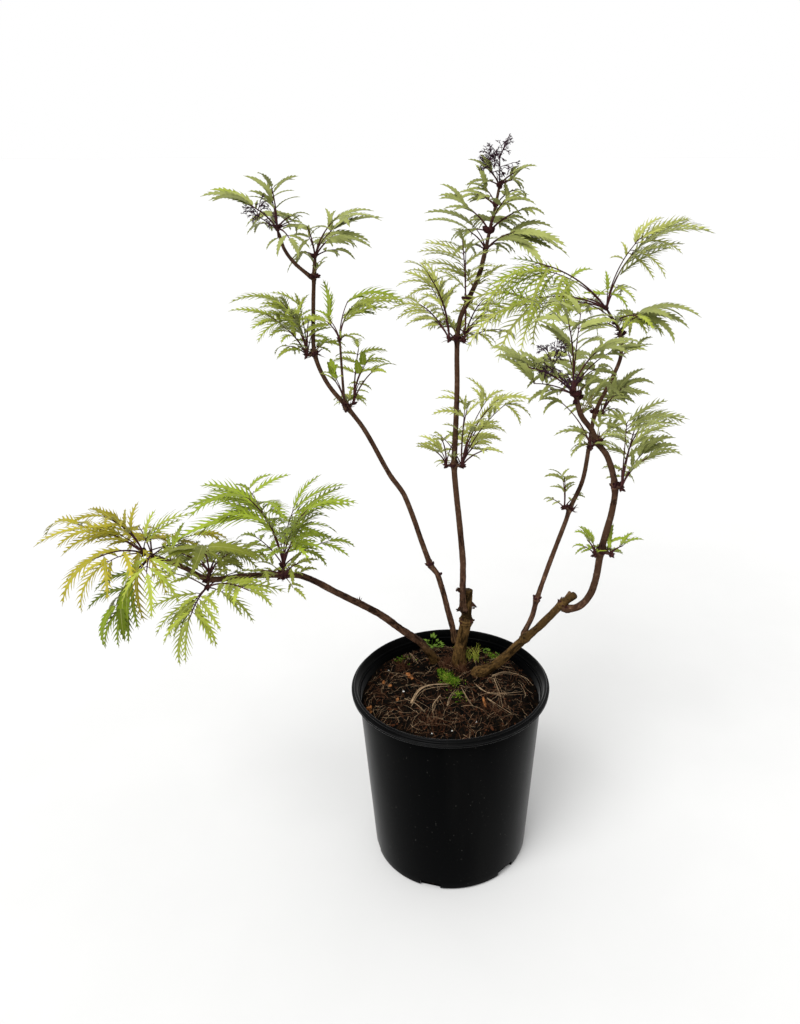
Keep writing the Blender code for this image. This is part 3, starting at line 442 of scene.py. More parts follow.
# Finer leaves by mass: the joint, heading, rise and length of the stalk, its leaflets' cut and tint, and
# for each leaflet its place in percent of the stalk, heading, rise and length. Lengths are in millimetres.
SPRAYS = {
    "left_tip": [
        (1, 157, 52, 43, "feather", "gold", [
            (55, 64, 63, 35), (80, 87, 65, 18), (100, 174, 12, 28), (75, 183, -7, 39), (50, 178, 4, 57)
        ]),
        (1, 62, 71, 14, "feather", "lime", [(100, 52, 60, 35), (95, 13, 26, 58), (60, 16, 31, 50)]),
        (1, 166, 37, 29, "feather", "gold", [(90, 175, 11, 48), (100, 181, -3, 44), (60, 182, -3, 42)]),
        (1, 148, 60, 8, "feather", "gold", [(100, 322, -53, 63), (90, 277, -67, 83), (80, 241, -62, 36)]),
        (1, 184, -12, 37, "feather", "gold", [
            (100, 196, -31, 37), (95, 218, -53, 65), (90, 260, -65, 28), (70, 179, 2, 28)
        ]),
        (0, 207, -56, 59, "cut", "deep", [
            (40, 190, -21, 51), (70, 192, -24, 52), (100, 223, -56, 52), (92, 251, -64, 53),
            (60, 290, -64, 51), (95, 279, -65, 46)
        ]),
    ],
    "left_inner_upper": [
        (0, 129, 68, 26, "cut", "dull", [
            (100, 188, -16, 44), (100, 354, -14, 65), (95, 335, -43, 40), (90, 196, -30, 27)
        ]),
    ],
    "left_inner_lower": [
        (0, 202, -51, 31, "feather", "lime", [
            (100, 259, -65, 58), (55, 201, -38, 59), (75, 212, -49, 44), (30, 188, -17, 60)
        ]),
        (0, 354, -18, 17, "feather", "lime", [
            (100, 337, -40, 48), (85, 334, -44, 37), (90, 360, -1, 71), (60, 208, -45, 24)
        ]),
    ],
    "left_middle_upper": [
        (0, 146, 62, 87, "cut", "fresh", [
            (100, 14, 29, 31), (93, 12, 25, 48), (97, 170, 20, 20), (85, 179, 3, 40), (70, 180, 0, 88),
            (62, 187, -15, 108), (75, 191, -23, 77)
        ]),
        (0, 57, 70, 59, "cut", "fresh", [
            (100, 28, 46, 51), (95, 12, 25, 69), (90, 4, 8, 71), (85, 1, 2, 44), (75, 352, -17, 36),
            (60, 356, -9, 23), (50, 241, -63, 4)
        ]),
    ],
    "left_middle_front": [
        (0, 31, 60, 15, "broad", "dull", [(100, 22, 40, 22), (90, 352, -16, 19), (80, 296, -63, 22)]),
    ],
    "rear_middle_left": [
        (2, 53, 69, 42, "cut", "fresh", [
            (100, 358, -4, 67), (95, 4, 8, 27), (60, 1, 2, 39), (50, 10, 22, 39), (30, 276, -66, 12)
        ]),
        (2, 150, 59, 25, "cut", "fresh", [(100, 112, 65, 46), (100, 71, 65, 30), (90, 166, 29, 22)]),
        (0, 142, 65, 45, "round", "fresh", [
            (100, 112, 66, 17), (95, 39, 57, 13), (90, 144, 55, 19), (80, 162, 37, 14)
        ]),
    ],
    "rear_middle_right": [
        (0, 37, 65, 51, "cut", "fresh", [(100, 357, -7, 28), (100, 17, 35, 12)]),
        (0, 44, 68, 43, "round", "fresh", [(100, 81, 67, 19), (75, 122, 64, 19)]),
    ],
    "rear_upper": [
        (0, 147, 62, 47, "feather", "lime", [
            (100, 172, 19, 38), (97, 182, -5, 46), (90, 195, -32, 50), (85, 197, -34, 33), (80, 151, 49, 31),
            (70, 52, 62, 37), (60, 65, 65, 25)
        ]),
        (0, 117, 72, 54, "feather", "lime", [
            (100, 170, 22, 38), (100, 134, 60, 17), (90, 37, 55, 22), (80, 11, 25, 16)
        ]),
        (0, 164, 44, 15, "cut", "olive", [(100, 178, 5, 10), (90, 278, -67, 9)]),
    ],
    "rear_tip_left": [
        (0, 123, 69, 40, "broad", "olive", [
            (60, 158, 39, 45), (100, 120, 62, 12), (90, 13, 26, 31), (75, 8, 18, 26), (60, 168, 25, 31)
        ]),
        (0, 165, 38, 36, "broad", "lime", [(100, 170, 20, 47), (95, 177, 7, 47), (80, 65, 63, 10)]),
        (0, 9, 26, 17, "broad", "olive", [(100, 164, 31, 17), (100, 16, 31, 11), (90, 356, -9, 14)]),
        (0, 281, -72, 9, "broad", "olive", [(100, 204, -41, 18)]),
    ],
    "rear_tip_right": [
        (0, 25, 53, 31, "broad", "olive", [
            (100, 122, 62, 27), (97, 58, 62, 25), (100, 6, 13, 60), (98, 13, 26, 44), (80, 356, -9, 49),
            (70, 334, -44, 14)
        ]),
        (0, 135, 66, 20, "broad", "olive", [
            (100, 179, 2, 22), (100, 99, 66, 15), (95, 215, -52, 27), (100, 22, 40, 18), (90, 0, 0, 17)
        ]),
    ],
    "centre_low_left": [
        (0, 143, 65, 18, "cut", "pale", [
            (100, 166, 30, 32), (100, 174, 14, 28), (80, 172, 18, 10), (90, 148, 52, 20)
        ]),
        (0, 39, 66, 31, "cut", "fresh", [
            (100, 160, 39, 15), (100, 20, 40, 17), (90, 76, 67, 17), (80, 168, 26, 7)
        ]),
    ],
    "centre_low_right": [
        (0, 36, 64, 78, "cut", "pale", [
            (100, 157, 43, 37), (95, 13, 29, 28), (90, 150, 50, 27), (85, 87, 67, 28)
        ]),
        (0, 21, 52, 83, "cut", "pale", [
            (100, 349, -25, 35), (100, 333, -48, 31), (95, 5, 12, 28), (80, 22, 42, 30), (70, 48, 61, 34)
        ]),
        (0, 78, 74, 67, "cut", "pale", [
            (100, 167, 29, 34), (100, 175, 12, 36), (80, 167, 28, 23), (90, 76, 67, 21)
        ]),
        (0, 22, 52, 33, "broad", "pale", [
            (100, 356, -9, 17), (95, 125, 63, 9), (80, 195, -31, 4), (70, 107, 66, 17)
        ]),
    ],
    "centre_middle_left": [
        (0, 141, 64, 60, "feather", "pale", [
            (100, 181, -3, 38), (97, 169, 24, 36), (90, 189, -19, 32), (80, 194, -28, 30), (70, 136, 58, 50),
            (100, 139, 56, 29), (60, 80, 66, 33)
        ]),
        (0, 123, 70, 37, "cut", "pale", [(100, 23, 42, 33), (95, 105, 66, 29), (80, 45, 58, 26)]),
    ],
    "centre_middle_right": [
        (1, 89, 73, 86, "feather", "pale", [
            (100, 144, 53, 24), (95, 170, 21, 34), (95, 33, 51, 20), (85, 175, 10, 55), (80, 14, 28, 29),
            (70, 176, 10, 52), (65, 174, 14, 36), (60, 12, 25, 31)
        ]),
    ],
    "centre_top": [
        (1, 162, 43, 37, "broad", "olive", [(100, 160, 37, 34), (97, 171, 18, 30), (90, 165, 29, 14)]),
        (2, 151, 56, 19, "broad", "olive", [
            (100, 135, 56, 29), (80, 173, 15, 26), (70, 179, 2, 28), (50, 184, -9, 27)
        ]),
        (2, 5, 16, 13, "broad", "olive", [
            (100, 115, 63, 24), (100, 9, 18, 24), (90, 358, -4, 31), (80, 316, -56, 12), (70, 343, -32, 19)
        ]),
        (3, 8, 23, 13, "broad", "olive", [(100, 21, 37, 22), (90, 61, 62, 9)]),
        (0, 11, 30, 29, "broad", "olive", [
            (100, 3, 8, 47), (100, 351, -19, 69), (90, 349, -22, 29), (80, 353, -14, 55)
        ]),
        (0, 148, 59, 24, "broad", "olive", [(100, 173, 15, 58)]),
    ],
    "right_inner_low": [
        (0, 107, 74, 36, "broad", "olive", [
            (100, 169, 25, 19), (100, 23, 43, 13), (90, 177, 7, 23), (90, 3, 8, 18), (60, 176, 9, 18),
            (60, 13, 29, 16)
        ]),
    ],
    "right_inner_middle": [
        (0, 22, 53, 31, "broad", "olive", [
            (100, 17, 35, 41), (100, 6, 14, 39), (90, 358, -4, 41), (85, 350, -23, 23), (80, 87, 67, 30),
            (70, 188, -18, 24)
        ]),
    ],
    "right_inner_top": [
        (2, 169, 31, 68, "fern", "fresh", [
            (100, 186, -13, 74), (100, 198, -34, 80), (97, 203, -40, 65), (93, 227, -58, 48),
            (85, 215, -51, 15), (80, 293, -63, 30), (90, 172, 16, 54), (70, 10, 21, 27)
        ]),
        (2, 179, 3, 72, "fern", "pale", [
            (100, 196, -31, 91), (100, 182, -4, 88), (95, 211, -48, 79), (90, 225, -57, 63),
            (85, 235, -61, 53), (80, 188, -17, 75), (70, 263, -65, 20)
        ]),
        (2, 337, 69, 72, "feather", "pale", [
            (100, 3, 5, 80), (98, 10, 20, 63), (95, 355, -11, 51), (85, 340, -35, 48), (80, 335, -41, 40),
            (70, 177, 6, 15), (75, 128, 59, 17), (95, 46, 56, 23), (98, 21, 37, 39)
        ]),
        (0, 13, 36, 26, "broad", "olive", [
            (100, 354, -14, 57), (97, 5, 11, 25), (90, 343, -33, 51), (80, 343, -33, 36), (60, 254, -65, 19),
            (75, 172, 18, 24)
        ]),
        (2, 81, 72, 17, "feather", "fresh", [(100, 102, 65, 24), (90, 341, -36, 28), (80, 179, 3, 28)]),
    ],
    "right_outer_top": [
        (1, 74, 70, 69, "broad", "olive", [
            (100, 173, 13, 37), (100, 151, 43, 28), (80, 176, 8, 46), (80, 5, 10, 39), (75, 3, 7, 36),
            (60, 7, 13, 20), (50, 163, 30, 26)
        ]),
        (1, 19, 42, 49, "broad", "olive", [
            (100, 4, 7, 38), (97, 2, 3, 38), (90, 355, -9, 21), (80, 103, 62, 21)
        ]),
        (0, 174, 15, 40, "broad", "olive", [
            (100, 158, 36, 58), (97, 161, 33, 46), (80, 138, 53, 33), (70, 129, 57, 19), (60, 213, -47, 19)
        ]),
    ],
    "right_outer_neck": [
        (0, 155, 51, 54, "broad", "olive", [(100, 201, -37, 22), (90, 175, 9, 25)]),
        (0, 120, 69, 14, "broad", "olive", [(100, 181, -1, 25), (100, 199, -34, 19)]),
    ],
    "right_outer_side": [
        (0, 78, 71, 62, "cut", "olive", [
            (100, 174, 12, 31), (95, 156, 39, 25), (100, 14, 26, 49), (95, 3, 6, 65), (90, 3, 5, 61),
            (85, 3, 7, 57), (80, 168, 23, 30), (75, 183, -7, 3)
        ]),
        (0, 28, 55, 37, "broad", "olive", [
            (100, 6, 11, 40), (97, 12, 24, 41), (90, 31, 46, 30), (60, 91, 64, 20)
        ]),
    ],
    "right_outer_low_left": [
        (0, 118, 70, 12, "cut", "fresh", [
            (100, 148, 48, 21), (100, 100, 65, 9), (80, 159, 38, 14), (70, 198, -33, 7)
        ]),
    ],
    "right_outer_low_right": [
        (0, 111, 71, 11, "broad", "fresh", [(100, 3, 6, 23), (90, 64, 63, 23), (50, 107, 64, 19)]),
    ],
}

# Fans of young leaves by limb: route point, heading, rise, count, size in millimetres and tint
SPRIGS = {
    "stem_left": [
        (6, 200, 30, 3, 22, "dull"), (6, 350, -20, 2, 20, "dull"), (8, 180, 30, 3, 24, "dull"),
        (8, 10, 25, 3, 24, "dull"), (9.6, 60, 50, 3, 22, "fresh")
    ],
    "stem_rear": [
        (7, 240, 70, 2, 12, "pale"), (7, 60, 60, 2, 12, "pale"), (9, 20, 50, 2, 16, "fresh"),
        (9, 190, 20, 2, 18, "fresh"), (11, 320, 40, 2, 16, "olive")
    ],
    "stem_centre": [
        (4, 250, 60, 2, 16, "pale"), (7, 180, 50, 3, 18, "pale"), (7, 10, 50, 3, 18, "pale"),
        (9.5, 200, 40, 2, 20, "pale"), (9.5, 330, 40, 2, 20, "pale")
    ],
    "stem_right_inner": [(8, 200, 50, 2, 20, "olive"), (10, 30, 40, 3, 24, "olive"), (11, 260, 40, 2, 22)],
    "stem_right_outer": [
        (8, 40, 40, 3, 24, "olive"), (9.6, 20, 50, 3, 26, "olive"), (10.6, 60, 50, 3, 26, "olive")
    ],
}

# Buds and stubs, in the order they are made: the limb or mass that bears them, then for each its route
# point or joint, heading, rise, length and radius in millimetres, and its kind where it isn't a bud
STUBS = [
    ("trunk_centre", [(2.5, 350, 30, 4, 4.2, "knot"), (2.2, 355, 20, 3, 3, "knot")]),
    ("stem_centre", [
        (1.0, 190, 20, 3, 3, "knot"), (0.6, 195, 10, 3, 3.4, "knot"), (0.3, 200, -10, 3, 3, "knot")
    ]),
    ("foliage_centre_top", [(1, 190, 40, 9, 3), (1, 330, 40, 8, 3), (3, 30, 60, 6, 2)]),
    ("foliage_right_outer_top", [(0, 200, 40, 8, 2.6), (0, 340, 40, 8, 2.6)]),
    ("foliage_right_inner_top", [(2, 200, 30, 6, 2)]),
    ("foliage_left_middle_upper", [(0, 200, 40, 6, 2)]),
    ("foliage_left_tip", [(1, 100, 50, 7, 2.2)]),
    ("foliage_rear_tip_left", [(0, 300, 30, 9, 2.4)]),
    ("foliage_rear_tip_right", [(0, 200, 30, 6, 2)]),
    ("stem_right_outer_low", [(2, 20, 45, 14, 2.4, "cut")]),
    ("stem_left", [
        (3.5, 120, 60, 8, 1.6, "spiky"), (6, 60, 60, 7, 1.8), (6, 240, -40, 6, 1.6, "spiky"),
        (8, 80, 60, 7, 1.9), (8, 280, 30, 6, 1.7), (10, 210, 30, 9, 1.9)
    ]),
    ("stem_rear", [
        (2, 330, 50, 6, 1.8), (7, 200, 30, 8, 1.5, "spiky"), (7, 20, 30, 8, 1.5, "spiky"),
        (9, 190, 10, 11, 1.7, "spiky"), (9, 350, 30, 13, 1.6, "spiky"), (9, 270, 30, 7, 2.4),
        (11, 0, 40, 6, 1.8), (11, 250, 30, 6, 1.8)
    ]),
    ("stem_centre", [
        (4, 190, 20, 9, 1.4, "spiky"), (4, 350, 10, 11, 1.4, "spiky"), (4, 350, 50, 9, 1.4, "spiky"),
        (7, 180, 20, 20, 1.4, "spiky"), (7, 0, 20, 18, 1.4, "spiky"), (7, 260, 40, 8, 2.6),
        (9, 320, 30, 6, 2), (9, 180, 30, 6, 2)
    ]),
    ("stem_right_inner", [
        (5, 20, 30, 12, 1.3, "spiky"), (5, 180, 40, 6, 1.6), (8, 180, 30, 6, 1.8),
        (11, 200, 20, 8, 1.7, "spiky"), (11, 20, 30, 7, 2)
    ]),
    ("stem_right_outer", [
        (4, 0, 20, 10, 1.5, "spiky"), (4, 330, 50, 12, 1.4, "spiky"), (6, 20, 40, 8, 1.8),
        (8, 40, 60, 10, 2, "spiky"), (8, 300, 40, 7, 2.2), (11, 240, 30, 8, 2.2), (11, 30, 30, 8, 2)
    ]),
]


def direction(heading, rise):
    """The unit vector with this heading and rise."""
    heading, rise = math.radians(heading), math.radians(rise)
    return Vector((math.cos(rise) * math.cos(heading), math.cos(rise) * math.sin(heading), math.sin(rise)))


def arch(start, heading, rise, length, fall, steps):
    """Points along an arch that falls evenly by this many degrees about its mean rise."""
    points = [Vector(start)]
    for step in range(steps):
        here = rise + fall * (0.5 - (step + 0.5) / steps)
        points.append(points[-1] + direction(heading, here) * (length / steps))
    return points


def smooth_line(points, step):
    """A smooth line through the points, and where on it each point is."""
    points = [Vector(point) for point in points]
    last = len(points) - 1
    tangents = [(points[min(i + 1, last)] - points[max(i - 1, 0)]).normalized() for i in range(last + 1)]
    line, marks = [points[0]], [0]
    for i in range(last):
        span = (points[i + 1] - points[i]).length
        count = max(2, round(span / step) + 1)
        handles = tangents[i] * (span / 3), tangents[i + 1] * (span / 3)
        start, end = points[i], points[i + 1]
        line += interpolate_bezier(start, start + handles[0], end - handles[1], end, count)[1:]
        marks.append(len(line) - 1)
    return line, marks


def lengths_along(line):
    """How far along the line each of its points is."""
    travelled = [0.0]
    for a, b in zip(line, line[1:]):
        travelled.append(travelled[-1] + (b - a).length)
    return travelled


def tube(line, radii, sides, start_facing=None, relief=None):
    """A closed tube along the line, as points and faces, with a flat cap at each end.

    Relief, where it is given, is the factor on the radius at each ring and angle.
    """
    last = len(line) - 1
    points, faces, across = [], [], None
    for i, centre in enumerate(line):
        along = (line[min(i + 1, last)] - line[max(i - 1, 0)]).normalized()
        if i == 0 and start_facing:
            along = start_facing
        across = across or along.orthogonal()
        across = (across - along * across.dot(along)).normalized()
        upright = along.cross(across)
        for side in range(sides):
            angle = 2 * math.pi * side / sides
            radius = radii[i] * (relief(i, angle) if relief else 1)
            points.append(centre + (across * math.cos(angle) + upright * math.sin(angle)) * radius)
    for i in range(last):
        for side in range(sides):
            a, b = i * sides + side, i * sides + (side + 1) % sides
            faces.append((a, b, b + sides, a + sides))
    faces.append(tuple(reversed(range(sides))))
    faces.append(tuple(range(last * sides, (last + 1) * sides)))
    return points, faces


def leaflet_room(base, heading, rise, length, roll):
    """The lozenge that a leaflet needs free, with its clearance."""
    course = arch(base, heading, rise, length, LEAFLET_FALL, LEAFLET_STEPS)
    middle = round(LEAFLET_STEPS * LEAFLET_WAIST)
    along = (course[middle + 1] - course[middle - 1]).normalized()
    side, up = rolled(along, heading, roll)
    half_width = length * LEAFLET_WIDTH / 2 + CLEARANCE
    half_depth = length * LEAFLET_THICKNESS / 2 + CLEARANCE
    root = base - (course[1] - course[0]).normalized() * LEAFLET_ROOT
    tip = course[-1] + (course[-1] - course[-2]).normalized() * CLEARANCE
    reaches = (side * half_width, up * half_depth, -side * half_width, -up * half_depth)
    points = [root, *(course[middle] + reach for reach in reaches), tip]
    faces = []
    for i in range(4):
        a, b = 1 + i, 1 + (i + 1) % 4
        faces += [(0, b, a), (5, a, b)]
    return points, faces


def rolled(along, heading, roll):
    """A blade's side and upper directions where it runs this way, rolled about its rib."""
    side = Vector((-math.sin(math.radians(heading)), math.cos(math.radians(heading)), 0))
    up = along.cross(side)
    turn = math.radians(roll)
    return side * math.cos(turn) + up * math.sin(turn), up * math.cos(turn) - side * math.sin(turn)


def is_clear(shape, obstacles):
    """Whether the shape touches none of the search trees."""
    tree = BVHTree.FromPolygons(*shape)
    return not any(tree.overlap(obstacle) for obstacle in obstacles)


def tree_of(shapes):
    """One search tree for the faces of all the shapes."""
    points, faces = [], []
    for shape_points, shape_faces in shapes:
        faces += [tuple(index + len(points) for index in face) for face in shape_faces]
        points += shape_points
    return BVHTree.FromPolygons(points, faces)


class GrownLimb:
    """A limb's centre line and radii, worked out from its route."""

    def __init__(self, limb, grown):
        self.limb, self.facing = limb, None
        route = [Vector(point) for point in limb.route]
        if not limb.parent:
            self.facing = Vector((0, 0, 1))
        elif limb.at < 0:
            parent = grown[limb.parent]
            self.facing = parent.tangent(-1)
            route.insert(0, parent.line[-1] + self.facing * GAP)
        else:
            self.facing = direction(limb.heading, limb.rise)
            route.insert(0, grown[limb.parent].perch(limb.at, self.facing, limb.base_radius))
        self.route = route
        self.line, self.marks = smooth_line(route, RING_STEP)
        self.radii = self.radii_along(self.line, self.marks)
        self.shape = tube(self.line, self.radii, limb.sides, self.facing)

    def radii_along(self, line, marks):
        """The radius at each point of a line along the route: tapered, flared and swollen at the joints."""
        limb, radii = self.limb, []
        travelled = lengths_along(line)
        for here in travelled:
            radius = limb.base_radius + (limb.tip_radius - limb.base_radius) * here / travelled[-1]
            if not limb.parent:
                radius *= 1 + FLARE * math.exp(-here / FLARE_HEIGHT)
            for joint in limb.joints:
                away = (here - travelled[marks[joint]]) / JOINT_LENGTH
                radius *= 1 + JOINT_SWELL * math.exp(-away * away)
            radii.append(radius)
        return radii

    def place(self, at):
        """The index, along the line, of a point on the route, which may lie between two of its own."""
        whole = min(int(at), len(self.marks) - 2)
        return round(self.marks[whole] + (at - whole) * (self.marks[whole + 1] - self.marks[whole]))

    def tangent(self, index):
        """The way the line runs at this point, or at its end where the index is below 0."""
        if index < 0:
            return (self.line[-1] - self.line[-2]).normalized()
        last = len(self.line) - 1
        return (self.line[min(index + 1, last)] - self.line[max(index - 1, 0)]).normalized()

    def perch(self, at, facing, radius):
        """The start, a hair clear of the bark, of something round that leaves this way."""
        index = self.place(at)
        along = self.tangent(index)
        outward = (facing - along * facing.dot(along)).normalized()
        lean = abs(facing.dot(along))
        return self.line[index] + outward * (self.radii[index] + radius * lean + GAP)


def outward_from(limb, at, heading, rise):
    """The direction nearest to the one asked for that leaves the limb squarely."""
    along = limb.tangent(limb.place(at))
    wanted = direction(heading, rise)
    return (wanted - along * wanted.dot(along)).normalized()


class Shoot(NamedTuple):
    """A mass's own stem: its line, radii, the way it leaves, its closed shape and its joints."""

    line: list
    radii: list
    facing: Vector
    shape: tuple
    joints: list


class Blade(NamedTuple):
    """A leaflet's place, course, size and roll, with its cut and tint."""

    base: Vector
    heading: float
    rise: float
    length: float
    roll: float
    cut: str
    tint: str


class GrownLeaf(NamedTuple):
    """A leaf's row, which is None for a spray, its turned heading, its stalk and its leaflets."""

    row: Leaf
    heading: float
    course: list
    blades: list


def grow_shoot(mass, limb):
    """A mass's own stem, on the limb that carries it or at that limb's end."""
    if mass.at < 0:
        facing = limb.tangent(-1)
        start, radius = limb.line[-1] + facing * GAP, limb.radii[-1] * 0.95
    else:
        facing = outward_from(limb, mass.at, mass.heading, mass.rise)
        start, radius = limb.perch(mass.at, facing, COLLAR_RADIUS), COLLAR_RADIUS
    line = [start, start + facing * COLLAR_LENGTH]
    for heading, rise, length in mass.shoot:
        line.append(line[-1] + direction(heading, rise) * length)
    joints = line[1:]
    line.append(line[-1] + (line[-1] - line[-2]).normalized() * radius)
    radii = [radius * (1 - 0.25 * i / (len(line) - 1)) for i in range(len(line))]
    return Shoot(line, radii, facing, tube(line, radii, SHOOT_SIDES, facing), joints)


def stalk_room(course, spare=0.0):
    """The space of a leaf's stalk and rib."""
    last = len(course) - 1
    radii = [STALK_RADIUS + (STALK_TIP_RADIUS - STALK_RADIUS) * i / last + spare for i in range(last + 1)]
    return tube(course, radii, TWIG_SIDES)


def point_on(course, share):
    """The point this share of the way along an evenly stepped course, and the step it is on."""
    place = share * (len(course) - 1)
    step = min(int(place), len(course) - 2)
    return course[step].lerp(course[step + 1], place - step), step


def pair_share(leaf, number):
    """The share of a leaf's stalk at which this pair of leaflets grows, counted from its tip."""
    return LAST_PAIR_AT - (LAST_PAIR_AT - FIRST_PAIR_AT) * number / max(leaf.pairs - 1, 1)


def leaflet_way(leaf, step, hand):
    """How far a leaflet turns from its stalk on this step, and its rise, before chance is added."""
    local_rise = leaf.rise + STALK_ARCH * (0.5 - (step + 0.5) / STALK_STEPS)
    spread = hand * (leaf.spread or LEAFLET_SPREAD + STEEP_SPREAD * abs(local_rise) / 90)
    return spread, LEAFLET_RISE * local_rise - LEAFLET_HANG + leaf.lift


def looks_of(mass, leaf):
    """The cut and tint of a leaf's leaflets, its own or its mass's."""
    return leaf.cut or mass.cut, leaf.tint or mass.tint


def grow_leaf(mass, leaf, start, chance, obstacles, kin):
    """A compound leaf and the room it takes. One with no room to grow is turned, or left out."""
    for turn in TURNS:
        heading = leaf.heading + turn
        course = arch(start, heading, leaf.rise, leaf.length, STALK_ARCH, STALK_STEPS)
        free = is_clear(stalk_room(course, CLEARANCE), obstacles)
        if free and is_clear(stalk_room(course[2:], CLEARANCE), kin):
            break
    else:
        return None, []
    grown, rooms = GrownLeaf(leaf, heading, course, []), [stalk_room(course)]
    places = [(1.0, 0)]
    for pair in range(leaf.pairs):
        share = pair_share(leaf, pair)
        places += [(share, 1), (share - PAIR_STAGGER / leaf.length, -1)]
    for share, hand in places:
        base, step = point_on(course, share)
        spread, rise = leaflet_way(leaf, step, hand)
        rise += chance.uniform(-10, 10)
        size = BASE_LEAFLET_SHARE + (1 - BASE_LEAFLET_SHARE) * share
        length = leaf.leaflet * size * chance.uniform(0.92, 1.06)
        roll = chance.uniform(-22, 22) - 12 * hand
        away = heading + spread + chance.uniform(-8, 8)
        for turn in TURNS[:5]:
            room = leaflet_room(base, away + turn, rise, length, roll)
            if is_clear(room, obstacles + kin):
                grown.blades.append(Blade(base, away + turn, rise, length, roll, *looks_of(mass, leaf)))
                rooms.append(room)
                break
    return grown, rooms


def grow_head(head, start, chance, obstacles):
    """A dried flower head's stalk and spokes, and the room they take."""
    course = arch(start, head.heading, head.rise, head.length, 10, 8)
    room = tube(course, [HEAD_TWIG_RADIUS * 1.5] * len(course), TWIG_SIDES)
    if not is_clear(room, obstacles):
        return [], []
    lines, rooms = [course], [room]
    for spoke in range(HEAD_SPOKES):
        heading = 360 * spoke / HEAD_SPOKES + chance.uniform(-15, 15)
        rise = 62 - 52 * spoke / (HEAD_SPOKES - 1) + chance.uniform(-6, 6)
        length = head.width / 2 * chance.uniform(0.85, 1.1)
        start_share = 1 - 0.35 * spoke / (HEAD_SPOKES - 1)
        twig = arch(point_on(course, start_share)[0], heading, rise, length, 25, 2)
        fork = arch(twig[1], heading + HEAD_FORK, rise + 10, length * 0.5, 0, 1)
        for fine in (twig, fork):
            room = tube(fine, [HEAD_TWIG_RADIUS] * len(fine), TWIG_SIDES)
            if is_clear(room, obstacles):
                lines.append(fine)
                rooms.append(room)
    return lines, rooms


class GrownMass(NamedTuple):
    """A mass's shoot, leaves and the lines of each flower head."""

    shoot: Shoot
    leaves: list
    heads: list


@lru_cache(maxsize=None)
def grown_shrub():
    """Every limb and mass, grown in the same order as the solids, so that each has the same room."""
    limbs = {}
    for limb in LIMBS:
        limbs[limb.name] = GrownLimb(limb, limbs)
    obstacles = {name: tree_of([limb.shape]) for name, limb in limbs.items()}
    shoots = {mass.name: grow_shoot(mass, limbs[mass.limb]) for mass in MASSES}
    obstacles.update({name: tree_of([shoot.shape]) for name, shoot in shoots.items()})
    masses = {}
    for mass in MASSES:
        del obstacles[mass.name]
        others, chance, shoot = list(obstacles.values()), Random(mass.name), shoots[mass.name]
        rooms, kin, leaves, heads = [shoot.shape], [], [], []
        for leaf in mass.leaves:
            grown, room = grow_leaf(mass, leaf, shoot.joints[leaf.joint], chance, others, kin)
            kin.append(tree_of(room))
            rooms += room
            if grown:
                leaves.append(grown)
        for head in mass.heads:
            lines, room = grow_head(head, shoot.joints[head.joint], chance, others)
            heads.append(lines)
            rooms += room
        masses[mass.name] = GrownMass(shoot, leaves, heads)
        obstacles[mass.name] = tree_of(rooms)
    return limbs, masses


class Heap:
    """Points and faces of like things, gathered for one mesh, with a finish's number for each face."""

    def __init__(self):
        self.points, self.faces, self.finishes = [], [], []

    def add(self, points, faces, finish=0):
        """Takes in one shape, all of it with this finish."""
        start = len(self.points)
        self.points += points
        self.faces += [tuple(start + corner for corner in face) for face in faces]
        self.finishes += [finish] * len(faces)

    def piece(self, name, materials, slot, nodes=()):
        """All that was gathered, as one smooth piece."""
        mesh = bpy.data.meshes.new(name)
        mesh.from_pydata(self.points, [], self.faces)
        for material in materials:
            mesh.materials.append(material)
        mesh.polygons.foreach_set("material_index", self.finishes)
        mesh.shade_smooth()
        return settle(name, mesh, nodes)


def settle(name, mesh, nodes=()):
    """A shown piece from a mesh, riding on the shrub and standing for these nodes."""
    piece = bpy.data.objects.new(name, mesh)
    bpy.context.scene.collection.objects.link(piece)
    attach(piece, "root")
    if nodes:
        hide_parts(*nodes)
    return piece


def shade(colour, factor):
    """The colour made lighter or darker by this factor."""
    return tuple(min(1, channel * factor) for channel in colour)


